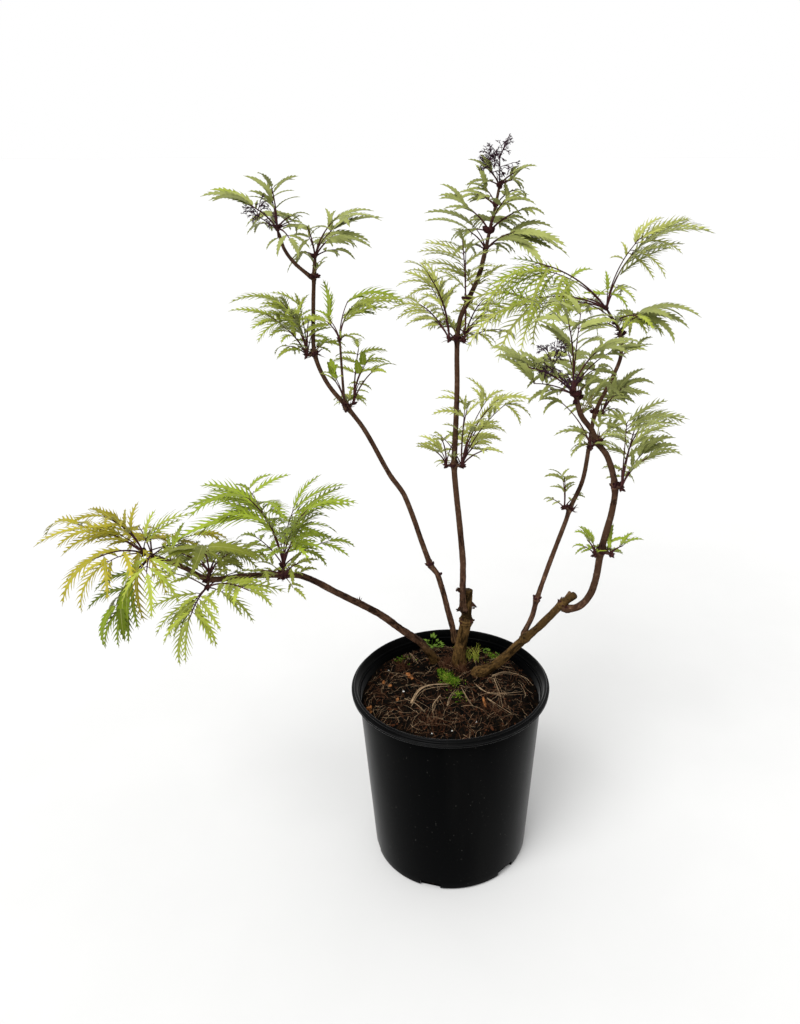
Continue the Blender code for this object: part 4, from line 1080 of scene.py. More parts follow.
class Finish:
    """A Principled material that is built up with noise in the object's own coordinates."""

    def __init__(self, name, colour, roughness):
        self.material = bpy.data.materials.new(name)
        self.material.use_nodes = True
        self.nodes, self.links = self.material.node_tree.nodes, self.material.node_tree.links
        self.surface = self.nodes["Principled BSDF"]
        self.surface.inputs["Base Color"].default_value = (*colour, 1)
        self.surface.inputs["Roughness"].default_value = roughness
        self.where = self.nodes.new("ShaderNodeTexCoord").outputs["Object"]
        self.colour, self.height = None, None

    def noise(self, scale, detail=4, stretch=None, distortion=0):
        """A noise value, finer where scale is larger, squeezed along each axis by stretch."""
        texture = self.nodes.new("ShaderNodeTexNoise")
        texture.inputs["Scale"].default_value = scale
        texture.inputs["Detail"].default_value = detail
        texture.inputs["Distortion"].default_value = distortion
        where = self.where
        if stretch:
            mapping = self.nodes.new("ShaderNodeMapping")
            mapping.inputs["Scale"].default_value = stretch
            self.links.new(where, mapping.inputs["Vector"])
            where = mapping.outputs["Vector"]
        self.links.new(where, texture.inputs["Vector"])
        return texture.outputs["Fac"]

    def height_above(self):
        """The height of the point shaded."""
        split = self.nodes.new("ShaderNodeSeparateXYZ")
        self.links.new(self.where, split.inputs["Vector"])
        return split.outputs["Z"]

    def between(self, value, low, high, new_low=0.0, new_high=1.0):
        """The value, mapped from one range to another and kept inside it."""
        node = self.nodes.new("ShaderNodeMapRange")
        ends = {"From Min": low, "From Max": high, "To Min": new_low, "To Max": new_high}
        for name, number in ends.items():
            node.inputs[name].default_value = number
        self.links.new(value, node.inputs["Value"])
        return node.outputs["Result"]

    def mottle(self, colour, mask):
        """Lays a second colour over the base colour where the mask is high."""
        mix = self.nodes.new("ShaderNodeMix")
        mix.data_type = "RGBA"
        if self.colour:
            self.links.new(self.colour, mix.inputs[6])
        else:
            mix.inputs[6].default_value = self.surface.inputs["Base Color"].default_value
        mix.inputs[7].default_value = (*colour, 1)
        self.links.new(mask, mix.inputs[0])
        self.colour = mix.outputs[2]
        self.links.new(self.colour, self.surface.inputs["Base Color"])
        return self

    def patches(self, colour, low, high, *texture):
        """A second colour in patches of noise, fading in between these two noise values."""
        return self.mottle(colour, self.between(self.noise(*texture), low, high))

    def gloss(self, level):
        """How strongly the surface mirrors, from 0 to 1."""
        self.surface.inputs["Specular IOR Level"].default_value = level

    def rough(self, mask, low, high):
        """Roughness that runs from low to high with the mask."""
        self.links.new(self.between(mask, 0.3, 0.7, low, high), self.surface.inputs["Roughness"])
        return self

    def bump(self, value, depth, strength=1.0):
        """A relief of this depth, in metres, in the shading alone."""
        node = self.nodes.new("ShaderNodeBump")
        node.inputs["Strength"].default_value = strength
        node.inputs["Distance"].default_value = depth
        self.links.new(value, node.inputs["Height"])
        if self.height:
            self.links.new(self.height, node.inputs["Normal"])
        self.height = node.outputs["Normal"]
        self.links.new(self.height, self.surface.inputs["Normal"])
        return self


def mottled(name, colour, roughness, other=None, scale=300, depth=0.0002):
    """A plain finish for small things: two near tones and a fine relief."""
    finish = Finish(name, colour, roughness)
    finish.gloss(FAINT_GLOSS)
    finish.patches(other or shade(colour, 0.72), 0.42, 0.62, scale)
    finish.bump(finish.noise(scale * 3), depth)
    return finish.material


class PotSettings(bpy.types.PropertyGroup):
    segments: IntProperty(name="Segments", description="Flat steps round the pot", default=192, min=24)
    plastic: FloatVectorProperty(
        name="Plastic", description="Colour of the moulded plastic", subtype="COLOR",
        default=(0.0004, 0.0005, 0.0006),
    )
    dust: FloatVectorProperty(
        name="Dust", description="Colour of the dust on the wall", subtype="COLOR",
        default=(0.060, 0.058, 0.052),
    )
    roughness: FloatProperty(
        name="Roughness", description="How dull the wall is", subtype="FACTOR", default=0.36, min=0, max=1
    )


class SoilSettings(bpy.types.PropertyGroup):
    compost: FloatVectorProperty(
        name="Compost", description="Colour of the damp compost", subtype="COLOR",
        default=(0.0040, 0.0030, 0.0022),
    )
    straw: FloatVectorProperty(
        name="Straw", description="Colour of the pale fibres", subtype="COLOR", default=(0.36, 0.25, 0.15)
    )
    moss: FloatVectorProperty(
        name="Moss", description="Colour of the moss", subtype="COLOR", default=(0.090, 0.200, 0.010)
    )
    relief: FloatProperty(
        name="Relief", description="Height of the lumps", subtype="DISTANCE", unit="LENGTH",
        default=0.0046, min=0,
    )
    crumbs: IntProperty(name="Crumbs", description="Loose crumbs on the surface", default=3000, min=0)
    fibres: IntProperty(name="Fibres", description="Short loose fibres", default=1050, min=0)


class BarkSettings(bpy.types.PropertyGroup):
    young: FloatVectorProperty(
        name="Young bark", description="Reddish brown of the thin stems", subtype="COLOR",
        default=(0.049, 0.025, 0.0145),
    )
    old: FloatVectorProperty(
        name="Old bark", description="Brown of the rough feet", subtype="COLOR",
        default=(0.055, 0.031, 0.0105),
    )
    stalk: FloatVectorProperty(
        name="Stalk", description="Purple brown of the leaf stalks", subtype="COLOR",
        default=(0.034, 0.012, 0.012),
    )
    bud: FloatVectorProperty(
        name="Bud", description="Dark maroon of the buds", subtype="COLOR", default=(0.018, 0.006, 0.006)
    )
    step: FloatProperty(
        name="Ring step", description="Length of one step along the bark", subtype="DISTANCE", unit="LENGTH",
        default=0.0009, min=0.0003,
    )
    sides: IntProperty(name="Sides", description="Flat steps round a stem", default=22, min=8)


class LeafSettings(bpy.types.PropertyGroup):
    gold: FloatVectorProperty(
        name="Gold", description="Golden leaves at the left tip", subtype="COLOR",
        default=(0.285, 0.245, 0.010),
    )
    lime: FloatVectorProperty(
        name="Lime", description="Bright yellow-green leaves", subtype="COLOR", default=(0.252, 0.295, 0.032)
    )
    fresh: FloatVectorProperty(
        name="Fresh", description="Fresh green leaves", subtype="COLOR", default=(0.190, 0.250, 0.014)
    )
    olive: FloatVectorProperty(
        name="Olive", description="Duller, older leaves", subtype="COLOR", default=(0.220, 0.242, 0.068)
    )
    dull: FloatVectorProperty(
        name="Dull", description="Shaded leaves of the left branch", subtype="COLOR",
        default=(0.160, 0.180, 0.022),
    )
    deep: FloatVectorProperty(
        name="Deep", description="Darkest green leaves", subtype="COLOR", default=(0.110, 0.155, 0.004)
    )
    pale: FloatVectorProperty(
        name="Pale", description="Pale, thin, shaded leaves", subtype="COLOR", default=(0.325, 0.345, 0.080)
    )
    underside: FloatVectorProperty(
        name="Underside", description="Greyer back of the leaves", subtype="COLOR",
        default=(0.175, 0.190, 0.055),
    )
    thickness: FloatProperty(
        name="Thickness", description="How thick a leaflet is", subtype="DISTANCE", unit="LENGTH",
        default=0.00022, min=0.00005,
    )
    fold: FloatProperty(name="Fold", description="How far the halves fold up, in degrees", default=16)
    twist: FloatProperty(name="Twist", description="Most that a leaflet twists, in degrees", default=24)


class HeadSettings(bpy.types.PropertyGroup):
    dried: FloatVectorProperty(
        name="Dried", description="Blackish purple of the dried heads", subtype="COLOR",
        default=(0.030, 0.014, 0.022),
    )
    radius: FloatProperty(
        name="Twig radius", description="Radius of the finest twigs", subtype="DISTANCE", unit="LENGTH",
        default=0.00036, min=0.0001,
    )
    forks: IntProperty(name="Forks", description="How often each spoke forks", default=3, min=1, max=4)


class StageSettings(bpy.types.PropertyGroup):
    floor: FloatVectorProperty(
        name="Floor", description="Colour of the floor", subtype="COLOR", default=(0.60, 0.60, 0.595)
    )
    sky: FloatProperty(name="Sky", description="Strength of the even light all round", default=1.0, min=0)
    key: FloatProperty(
        name="Key light", description="Strength of the broad light from the front", default=2.9, min=0
    )
    softness: FloatProperty(
        name="Softness", description="Width of the broad light, in degrees", default=38, min=1
    )


class ElderSettings(bpy.types.PropertyGroup):
    pot: PointerProperty(type=PotSettings, name="Pot", description="The nursery pot")
    soil: PointerProperty(type=SoilSettings, name="Soil", description="The compost and what lies on it")
    bark: PointerProperty(type=BarkSettings, name="Bark", description="Stems, stalks and buds")
    leaf: PointerProperty(type=LeafSettings, name="Leaves", description="Cut and tint of the leaves")
    head: PointerProperty(type=HeadSettings, name="Flower heads", description="The dried flower heads")
    stage: PointerProperty(type=StageSettings, name="Stage", description="Floor, light and camera")


def circle(radius, segments):
    """The places of even steps on a circle round the axis."""
    angles = [2 * math.pi * segment / segments for segment in range(segments)]
    return [(radius * math.cos(angle), radius * math.sin(angle)) for angle in angles]


def turned(profile, segments):
    """A closed solid of revolution, as points and faces, whose profile starts and ends on the axis."""
    points, faces = [Vector((0, 0, profile[0][1]))], []
    for radius, height in profile[1:-1]:
        points += [Vector((x, y, height)) for x, y in circle(radius, segments)]
    points.append(Vector((0, 0, profile[-1][1])))
    rows = len(profile) - 2
    last_row = 1 + (rows - 1) * segments
    for segment in range(segments):
        after = (segment + 1) % segments
        faces.append((0, 1 + after, 1 + segment))
        for row in range(rows - 1):
            a, b = 1 + row * segments + segment, 1 + row * segments + after
            faces.append((a, b, b + segments, a + segments))
        faces.append((len(points) - 1, last_row + segment, last_row + after))
    return points, faces


def wall_radius(height):
    """The outside radius of the pot's tapering body at this height."""
    return BODY_FOOT_RADIUS + (BODY_TOP_RADIUS - BODY_FOOT_RADIUS) * height / BAND_FOOT_Z


def round_corner(radius, height, size, start, end, steps=6):
    """Points round a corner of the profile, between two angles in degrees."""
    angles = [math.radians(start + (end - start) * step / steps) for step in range(steps + 1)]
    return [(radius + size * math.cos(a), height + size * math.sin(a)) for a in angles]


def pot_profile():
    """The pot's half section, from the middle of its underside, up the wall, over the rim and down inside."""
    inner_top = BODY_TOP_RADIUS - WALL
    foot = round_corner(BODY_FOOT_RADIUS - FOOT_ROUNDING, FOOT_ROUNDING, FOOT_ROUNDING, -90, -5)
    top = POT_HEIGHT
    return [
        (0, 0),
        *foot,
        *((wall_radius(z), z) for z in (0.012, 0.05, 0.10, 0.15, 0.195, 0.210)),
        (wall_radius(0.2145), top - 0.0096),
        (wall_radius(0.2145) + 0.0006, top - 0.0088),
        (RIM_RADIUS - 0.0030, top - 0.0084),
        *round_corner(RIM_RADIUS - 0.0013, top - 0.0074, 0.0010, -90, 80, 7),
        (RIM_RADIUS - 0.0017, top - 0.0060),
        *round_corner(RIM_RADIUS - 0.0014, top - 0.0048, 0.0014, -40, 100, 8),
        (RIM_RADIUS - 0.0026, top - 0.0034),
        (RIM_RADIUS - 0.0031, top - 0.0030),
        *round_corner(RIM_RADIUS - 0.0044, top - 0.0014, 0.0014, -40, 175, 10),
        (LIP_RADIUS - 0.0020, top - 0.0050),
        (inner_top + 0.0026, top - 0.0118),
        (inner_top + 0.0022, top - 0.0126),
        (inner_top + 0.0002, top - 0.0132),
        (inner_top, top - 0.0142),
        (wall_radius(0.10) - WALL, 0.10),
        (wall_radius(WALL) - WALL - 0.002, WALL),
        (0, WALL),
    ]


def cut_slots(pot, material):
    """Cuts the drainage slots out of the pot's foot, with rounded corners."""
    group = bpy.data.collections.new("slots")
    bpy.context.scene.collection.children.link(group)
    for heading in SLOT_HEADINGS:
        slot = bmesh.new()
        bmesh.ops.create_cube(slot, size=1)
        bmesh.ops.scale(slot, vec=(SLOT_DEPTH, SLOT_WIDTH, 2 * SLOT_HEIGHT), verts=slot.verts)
        ends = [(edge, *(vertex.co.x for vertex in edge.verts)) for edge in slot.edges]
        rounded = [edge for edge, a, b in ends if abs(a - b) > SLOT_DEPTH / 2]
        bmesh.ops.bevel(slot, geom=rounded, offset=0.0025, segments=4, affect="EDGES", profile=0.5)
        mesh = bpy.data.meshes.new("slot")
        slot.to_mesh(mesh)
        slot.free()
        mesh.materials.append(material)
        cutter = bpy.data.objects.new("slot", mesh)
        cutter.location = direction(heading, 0) * BODY_FOOT_RADIUS
        cutter.rotation_euler.z = math.radians(heading)
        group.objects.link(cutter)
    cut = pot.modifiers.new("Slots", "BOOLEAN")
    cut.operand_type = "COLLECTION"
    cut.collection = group
    cut.solver = "EXACT"
    bpy.context.view_layer.update()
    mesh = bpy.data.meshes.new_from_object(pot.evaluated_get(bpy.context.evaluated_depsgraph_get()))
    pot.modifiers.clear()
    pot.data = mesh
    for cutter in list(group.objects):
        bpy.data.objects.remove(cutter)
    bpy.data.collections.remove(group)
    mesh.shade_smooth()
    mesh.set_sharp_from_angle(angle=math.radians(40))


def pot_plastic(settings, name, gloss):
    """Satin black plastic with faint mould lines, dull patches and a few specks of dust."""
    finish = Finish(name, settings.plastic, settings.roughness)
    finish.gloss(gloss)
    finish.surface.inputs["Sheen Weight"].default_value = SHEEN
    finish.surface.inputs["Sheen Roughness"].default_value = SHEEN_ROUGHNESS
    finish.patches(settings.dust, 0.735, 0.76, 420, 2)
    film = finish.between(finish.noise(30, 5, (1, 1, 0.12)), 0.50, 0.80, 0.0, 0.05)
    finish.mottle(shade(settings.dust, 0.5), film)
    finish.rough(finish.noise(26, 5, (1, 1, 0.4)), settings.roughness - 0.07, settings.roughness + 0.09)
    finish.bump(finish.noise(900, 3), 0.00004)
    finish.bump(finish.noise(60, 2, (1, 1, 0.12)), 0.0002, 0.35)
    return finish.material


def soil_height(x, y, settings):
    """The height of the lumpy compost, which dips to its edge and rises a little round the stems."""
    radius = math.hypot(x, y)
    slope = min(1, max(0, (radius - SOIL_CROWN_RADIUS + 0.006) / (SOIL_RADIUS - SOIL_CROWN_RADIUS + 0.006)))
    base = SOIL_TOP_Z - (SOIL_TOP_Z - SOIL_EDGE_Z) * slope * slope * (3 - 2 * slope)
    place = Vector((x, y, 0))
    lumps = noise.noise(place * 45) * 0.9 + noise.noise(place * 120 + Vector((7, 0, 0))) * 0.55
    lumps += noise.noise(place * 330) * 0.35
    crown = math.exp(-((x - CROWN_X) ** 2 + (y - CROWN_Y) ** 2) / CROWN_REACH**2)
    bank = BACK_BANK * max(0, y / SOIL_RADIUS) ** 2
    return base + bank + settings.relief * (lumps * 0.6 + 0.6 * crown)


def on_soil(x, y, settings, above=0.0):
    """The point of the compost's surface at this place, or this far above it."""
    return Vector((x, y, soil_height(x, y, settings) + above))


def spot_on_soil(chance, settings, reach=0.985):
    """A random point on the compost."""
    radius = SOIL_RADIUS * reach * math.sqrt(chance.random())
    angle = chance.uniform(0, 2 * math.pi)
    return on_soil(radius * math.cos(angle), radius * math.sin(angle), settings)


def spot_near(x, y, heading, out, settings, above=0.0):
    """The point of the compost this many metres out, on this heading, from a place in millimetres."""
    place = Vector((x / 1000, y / 1000, 0)) + direction(heading, 0) * out
    return on_soil(place.x, place.y, settings, above)


def make_soil_bed(settings):
    """The compost's own closed mesh: a lumpy top and the plain sides that the pot hides."""
    rings, segments = SOIL_RINGS, SOIL_SEGMENTS
    points, faces = [on_soil(0, 0, settings)], []
    for ring in range(1, rings + 1):
        points += [on_soil(x, y, settings) for x, y in circle(SOIL_RADIUS * ring / rings, segments)]
    foot_z = WALL + GAP
    foot_radius = wall_radius(WALL) - WALL - 0.003
    points += [Vector((x, y, foot_z)) for x, y in circle(foot_radius, segments)]
    points.append(Vector((0, 0, foot_z)))
    for segment in range(segments):
        after = (segment + 1) % segments
        faces.append((0, 1 + segment, 1 + after))
        for ring in range(rings):
            a, b = 1 + ring * segments + segment, 1 + ring * segments + after
            faces.append((a, a + segments, b + segments, b))
        faces.append((len(points) - 1, 1 + rings * segments + after, 1 + rings * segments + segment))
    return points, faces


def crumb(place, size, chance):
    """A rough little lump of eight faces."""
    axes = [Vector((1, 0, 0)), Vector((0, 1, 0)), Vector((-1, 0, 0)), Vector((0, -1, 0))]
    turn = chance.uniform(0, 6.28)
    points = []
    for axis in axes:
        x = axis.x * math.cos(turn) - axis.y * math.sin(turn)
        y = axis.x * math.sin(turn) + axis.y * math.cos(turn)
        points.append(place + Vector((x, y, chance.uniform(-0.3, 0.3))) * (size * chance.uniform(0.7, 1.2)))
    off = Vector((chance.uniform(-0.3, 0.3), chance.uniform(-0.3, 0.3), chance.uniform(0.5, 0.9)))
    points += [place + off * size, place - Vector((0, 0, size * 0.6))]
    faces = []
    for i in range(4):
        after = (i + 1) % 4
        faces += [(i, after, 4), (after, i, 5)]
    return points, faces


def flake(place, length, width, thickness, heading, tilt, chance):
    """A splintered flat chip: an uneven six-sided plate."""
    along, across = direction(heading, tilt), direction(heading + 90, chance.uniform(-20, 20))
    up = along.cross(across).normalized()
    outline = [(-0.5, -0.25), (-0.2, -0.5), (0.35, -0.42), (0.5, 0.1), (0.15, 0.5), (-0.4, 0.4)]
    points = []
    for level in (0.5, -0.5):
        for a, b in outline:
            point = place + along * (a * length * chance.uniform(0.85, 1.1)) + across * (b * width)
            points.append(point + up * (level * thickness))
    count = len(outline)
    faces = [tuple(range(count)), tuple(reversed(range(count, 2 * count)))]
    faces += [(i + count, (i + 1) % count + count, (i + 1) % count, i) for i in range(count)]
    return points, faces


def strand(heap, line, radius, finish, sides=4, tip_share=0.4):
    """A thin fibre, root or grass blade that tapers to its tip."""
    last = len(line) - 1
    radii = [radius * (1 - (1 - tip_share) * i / last) for i in range(last + 1)]
    heap.add(*tube(line, radii, sides), finish)


def fibre_line(place, heading, length, chance, settings):
    """A fibre's line over the lumps, with a wandering heading."""
    line, step = [], length / 5
    point, here = Vector(place), heading
    turn = chance.uniform(-14, 14)
    for _ in range(6):
        if math.hypot(point.x, point.y) > SOIL_RADIUS - 0.002:
            break
        line.append(on_soil(point.x, point.y, settings, chance.uniform(0.0004, 0.0034)))
        here += turn + chance.uniform(-5, 5)
        point = point + direction(here, 0) * step
    return line


# A root, and then the long fibres that show on the compost, as routes from above, in millimetres
LONG_FIBRES = [
    [(-44, -28), (-35, -4), (-23, 6), (-2, 8)],
    [(49, 24), (65, 31), (88, 31), (97, 18)],
    [(51, 18), (56, -11), (58, -36)],
    [(42, -19), (55, -34), (68, -48)],
    [(-4, -32), (-1, -15), (6, -2)],
    [(13, -2), (20, -21), (25, -36)],
    [(-52, -17), (-40, -27), (-28, -43)],
    [(-51, 81), (-46, 65), (-39, 47)],
    [(30, 8), (42, -6), (60, -12), (82, -8)],
    [(-12, -12), (-20, -34), (-18, -58)],
    [(36, 40), (55, 46), (74, 42)],
]
# Bark chips that show: place, length and width in millimetres, and heading
BARK_CHIPS = [(38, -25, 16, 3, 100), (-70, 6, 5, 3, 20), (-60, -20, 5, 3, 70)]
# Rounder lumps of bark: place and size in millimetres
BARK_LUMPS = [(-50, 26, 4.0), (-45, 22, 2.8), (-92, -27, 3.8), (-89, -33, 2.2), (-78, 14, 2.6)]
# Mounds of reddish fibres: place and reach in millimetres, and how many fibres
FIBRE_MOUNDS = [(-4, 48, 12, 200), (14, 34, 12, 90), (-58, 44, 9, 60), (50, -40, 16, 70), (-20, -62, 22, 110)]
# Pale grit: place and size in millimetres
PERLITE = [(-54, -2, 1.6), (2, -74, 1.3), (-74, 40, 1.0), (61, 58, 1.1), (28, -60, 0.9), (-20, -78, 0.8)]
# Moss cushions: place and radius in millimetres, and how many spikes
MOSS = [(-4, 20, 9, 480), (5, 12, 8, 160), (-12, 30, 6, 60), (14, 84, 12, 70), (29, 60, 8, 60),
        (8, -14, 12, 60), (50, 66, 12, 50), (-60, 60, 12, 40)]
# Seedlings: place in millimetres, and size beside the usual one
SEEDLINGS = [(-24, 92, 2.4), (-15, 84, 1.6), (44, 82, 1.2), (56, 72, 0.9), (60, 48, 0.7)]


def make_litter(settings):
    """Crumbs, chips, grit and fibres that lie on the compost, in one mesh."""
    chance, heap = Random("litter"), Heap()
    for _ in range(settings.crumbs):
        size = 0.0005 + 0.0022 * chance.random() ** 3
        place = spot_on_soil(chance, settings)
        heap.add(*crumb(place, size, chance), chance.choice((0, 0, 0, 0, 1, 2)))
    for _ in range(FLAKES):
        place = spot_on_soil(chance, settings, 0.95) + Vector((0, 0, 0.0008))
        length, heading, tilt = chance.uniform(0.002, 0.007), chance.uniform(0, 360), chance.uniform(-35, 35)
        shape = flake(place, length, length * 0.4, 0.0006, heading, tilt, chance)
        heap.add(*shape, chance.choice((0, 1, 1, 1, 2, 2)))
    for x, y, length, width, heading in BARK_CHIPS:
        place = on_soil(x / 1000, y / 1000, settings, 0.0014)
        heap.add(*flake(place, length / 1000, width / 1000, 0.0014, heading, 12, chance), 3)
    for lumps, finish in ((BARK_LUMPS, 3), (PERLITE, 6)):
        for x, y, size in lumps:
            place = on_soil(x / 1000, y / 1000, settings, 0.0006)
            for _ in range(4):
                nudge = Vector([chance.gauss(0, size) for _ in range(3)]) / 4000
                heap.add(*crumb(place + nudge, size / 1000 * chance.uniform(0.6, 1), chance), finish)
    for _ in range(settings.fibres):
        length = 0.004 + 0.026 * chance.random() ** 2
        start = spot_on_soil(chance, settings, 0.97)
        line = fibre_line(start, chance.uniform(0, 360), length, chance, settings)
        if len(line) > 3:
            strand(heap, line, chance.uniform(0.00012, 0.00030), chance.choice((2, 2, 4, 4, 4, 5, 5)), 3)
    for number, route in enumerate(LONG_FIBRES):
        radius = ROOT_RADIUS if number == 0 else FIBRE_RADIUS
        route = [(x / 1000, y / 1000) for x, y in route]
        for copy in range(3):
            drift = Vector((chance.uniform(-0.003, 0.003), chance.uniform(-0.003, 0.003), 0)) * copy
            points = []
            for share, (x, y) in enumerate(route):
                x, y = x + drift.x * (share + 1) / 2, y + drift.y
                points.append((x, y, soil_height(x, y, settings) + 0.0018 + chance.uniform(0, 0.0012)))
            strand(heap, smooth_line(points, 0.004)[0], radius / (1 + copy), 5)
    for x, y, reach, count in FIBRE_MOUNDS:
        for _ in range(count):
            place = spot_near(x, y, chance.uniform(0, 360), reach / 1000 * chance.random(), settings)
            heading, rise = chance.uniform(0, 360), chance.uniform(10, 70)
            line = arch(place, heading, rise, chance.uniform(0.005, 0.014), 90, 5)
            strand(heap, line, 0.00026, chance.choice((2, 2, 4)), 3)
    compost, straw = tuple(settings.compost), tuple(settings.straw)
    materials = [
        mottled("crumb_dark", shade(compost, 0.9), 0.9),
        mottled("crumb_brown", (0.013, 0.007, 0.004), 0.88),
        mottled("crumb_red", (0.056, 0.021, 0.010), 0.85),
        mottled("bark_chip", (0.300, 0.120, 0.040), 0.75, (0.13, 0.050, 0.018)),
        mottled("fibre_brown", (0.130, 0.066, 0.036), 0.8),
        mottled("fibre_straw", straw, 0.75, shade(straw, 0.55)),
        mottled("perlite", (0.75, 0.74, 0.70), 0.9, (0.55, 0.54, 0.50)),
    ]
    heap.piece("compost_litter", materials, "compost")


def spike(place, heading, rise, length, width):
    """A flat-based little leaf of four faces."""
    along = direction(heading, rise)
    side = direction(heading + 90, 0) * (width / 2)
    up = along.cross(side).normalized() * (width * 0.3)
    middle = place + along * (length * 0.4)
    points = [place, middle + side, middle - side, middle + up, place + along * length]
    faces = [(0, 3, 1), (0, 2, 3), (0, 1, 2), (4, 1, 3), (4, 3, 2), (4, 2, 1)]
    return points, faces


def make_ground_greens(settings):
    """Moss cushions at the crown, a tuft of grass and a few seedlings, in one mesh."""
    chance, heap = Random("greens"), Heap()
    for x, y, radius, count in MOSS:
        for _ in range(count):
            out, angle = abs(chance.gauss(0, radius * 0.6)) / 1000, chance.uniform(0, 360)
            swell = CUSHION_HEIGHT * math.exp(-((out * 1000 / radius) ** 2))
            place = spot_near(x, y, angle, out, settings, swell * chance.random())
            for _ in range(3):
                length = chance.uniform(0.0014, 0.0032)
                shape = spike(place, chance.uniform(0, 360), chance.uniform(20, 80), length, length * 0.30)
                heap.add(*shape, chance.choice((0, 0, 1, 2)))
    for _ in range(GRASS_BLADES):
        place = Vector((0.026 + chance.uniform(-0.008, 0.008), 0.058 + chance.uniform(-0.008, 0.008), 0))
        place.z = soil_height(place.x, place.y, settings)
        line = arch(place, chance.uniform(0, 360), 62, chance.uniform(0.010, 0.022), 60, 6)
        strand(heap, line, 0.0005, 2, 4, 0.2)
    for x, y, size in SEEDLINGS:
        root = on_soil(x / 1000, y / 1000, settings)
        for leaf in range(5):
            heading = 72 * leaf + chance.uniform(-20, 20)
            stalk = arch(root, heading, 58, size * chance.uniform(0.003, 0.006), 50, 4)
            strand(heap, stalk, 0.0003, 1)
            for turn in (-62, 0, 62):
                length = size * chance.uniform(0.0020, 0.0040)
                heap.add(*spike(stalk[-1], heading + turn, chance.uniform(0, 60), length, length * 0.8), 3)
    moss = tuple(settings.moss)
    materials = [
        mottled("moss_bright", moss, 0.7),
        mottled("moss_dark", shade(moss, 0.6), 0.7),
        mottled("grass", (0.30, 0.32, 0.05), 0.6),
        mottled("seedling", (0.125, 0.205, 0.032), 0.55),
    ]
    heap.piece("compost_greens", materials, "foliage")


def bark_age(height):
    """How old and rough the bark is at this height: 1 at the feet, 0 well up the stems."""
    return min(1, max(0, (0.40 - height) / 0.15))


def bark_relief(limb, line, marks, radii):
    """The factor on the radius at each ring and angle: furrows on old wood, pores and leaf scars on young."""
    travelled = lengths_along(line)
    seed = Vector((len(limb.limb.name) * 3.7, 0, 0))
    scars = [travelled[marks[joint]] for joint in limb.limb.joints]
    trunk = limb.limb.name.startswith("trunk")

    def relief(ring, angle):
        along, radius = travelled[ring], radii[ring]
        x, y = math.cos(angle) * radius, math.sin(angle) * radius
        age = 1 if trunk else bark_age(line[ring].z)
        furrow = abs(noise.noise(Vector((x * 420, y * 420, along * 85)) + seed))
        lump = noise.noise(Vector((x * 150, y * 150, along * 60)) + seed)
        fine = noise.noise(Vector((x * 900, y * 900, along * 300)) + seed)
        bump = lump * (0.05 + 0.07 * age) + (0.22 * age + 0.05) * (0.25 - furrow) + fine * 0.02
        pore = noise.voronoi(Vector((x * 460, y * 460, along * 260)) + seed)[0][0]
        bump += max(0, 0.30 - pore) * 0.35 * (1 - 0.5 * age)
        for scar in scars:
            for offset in (-0.0022, 0.0018):
                away = (along - scar - offset) / 0.0008
                bump += 0.09 * math.exp(-away * away)
        return 1 + bump

    return relief


# The three tones of the bark, as a name and a factor on its colours: its own tone, a darker one that is
# painted shade in the furrows and a lighter one that is a painted highlight on the ridges
BARK_TONES = (("bark", 1.0), ("bark_furrow", 0.34), ("bark_ridge", 1.7))
# The heights between which the bark turns old, on the limbs of each age
BARK_AGES = {"old_": (0.42, 0.35), "young_": (0.262, 0.228)}
OLD_LIMBS = ("trunk_centre", "trunk_right", "stem_right_outer_low")
# The factors on the radius below and above which a face is in a furrow, where it takes the painted shade, or
# on a ridge, where it takes the painted highlight
FURROW_SHADE_BELOW = 0.965
RIDGE_HIGHLIGHT_ABOVE = 1.045
PALE_PORES = (0.086, 0.050, 0.031)
DARK_STREAKS = (0.022, 0.010, 0.007)
OLD_PATCHES = (0.024, 0.014, 0.006)


def make_bark(settings):
    """A mesh with relief for each limb, whose foot is sunk into the limb that bears it."""
    limbs = grown_shrub()[0]
    finishes = {
        age: [bark_finish(settings, age + name, factor, *heights) for name, factor in BARK_TONES]
        for age, heights in BARK_AGES.items()
    }
    for name, limb in limbs.items():
        trunk = name.startswith("trunk")
        step, sides = settings.step * (0.7 if trunk else 1), settings.sides * (2 if trunk else 1)
        line, marks = smooth_line(limb.route, step)
        radii = limb.radii_along(line, marks)
        if limb.limb.parent:
            for i in range(len(radii)):
                radii[i] *= 1 + 0.30 * math.exp(-i * step / 0.004)
            foot = limb.facing * LIMB_FOOT_DEPTH
            line = [line[0] - foot, line[0] - foot / 2, *line]
            radii = [radii[0], radii[0], *radii]
            marks = [mark + 2 for mark in marks]
        else:
            line.insert(0, line[0] - Vector((0, 0, TRUNK_FOOT_DEPTH)))
            radii.insert(0, radii[0] * 1.15)
            marks = [mark + 1 for mark in marks]
        relief = bark_relief(limb, line, marks, radii)
        heap = Heap()
        heap.add(*tube(line, radii, sides, limb.facing, relief))
        # Faces sunk into a furrow take the darker tone, which is painted shade, and faces raised on a ridge
        # take the lighter tone, which is a painted highlight.
        for ring in range(len(line) - 1):
            for side in range(sides):
                swell = relief(ring, 2 * math.pi * side / sides)
                finish = 1 if swell < FURROW_SHADE_BELOW else 2 if swell > RIDGE_HIGHLIGHT_ABOVE else 0
                heap.finishes[ring * sides + side] = finish
        age = "old_" if name in OLD_LIMBS else "young_"
        heap.piece("bark_" + name, finishes[age], "bark", (name,))


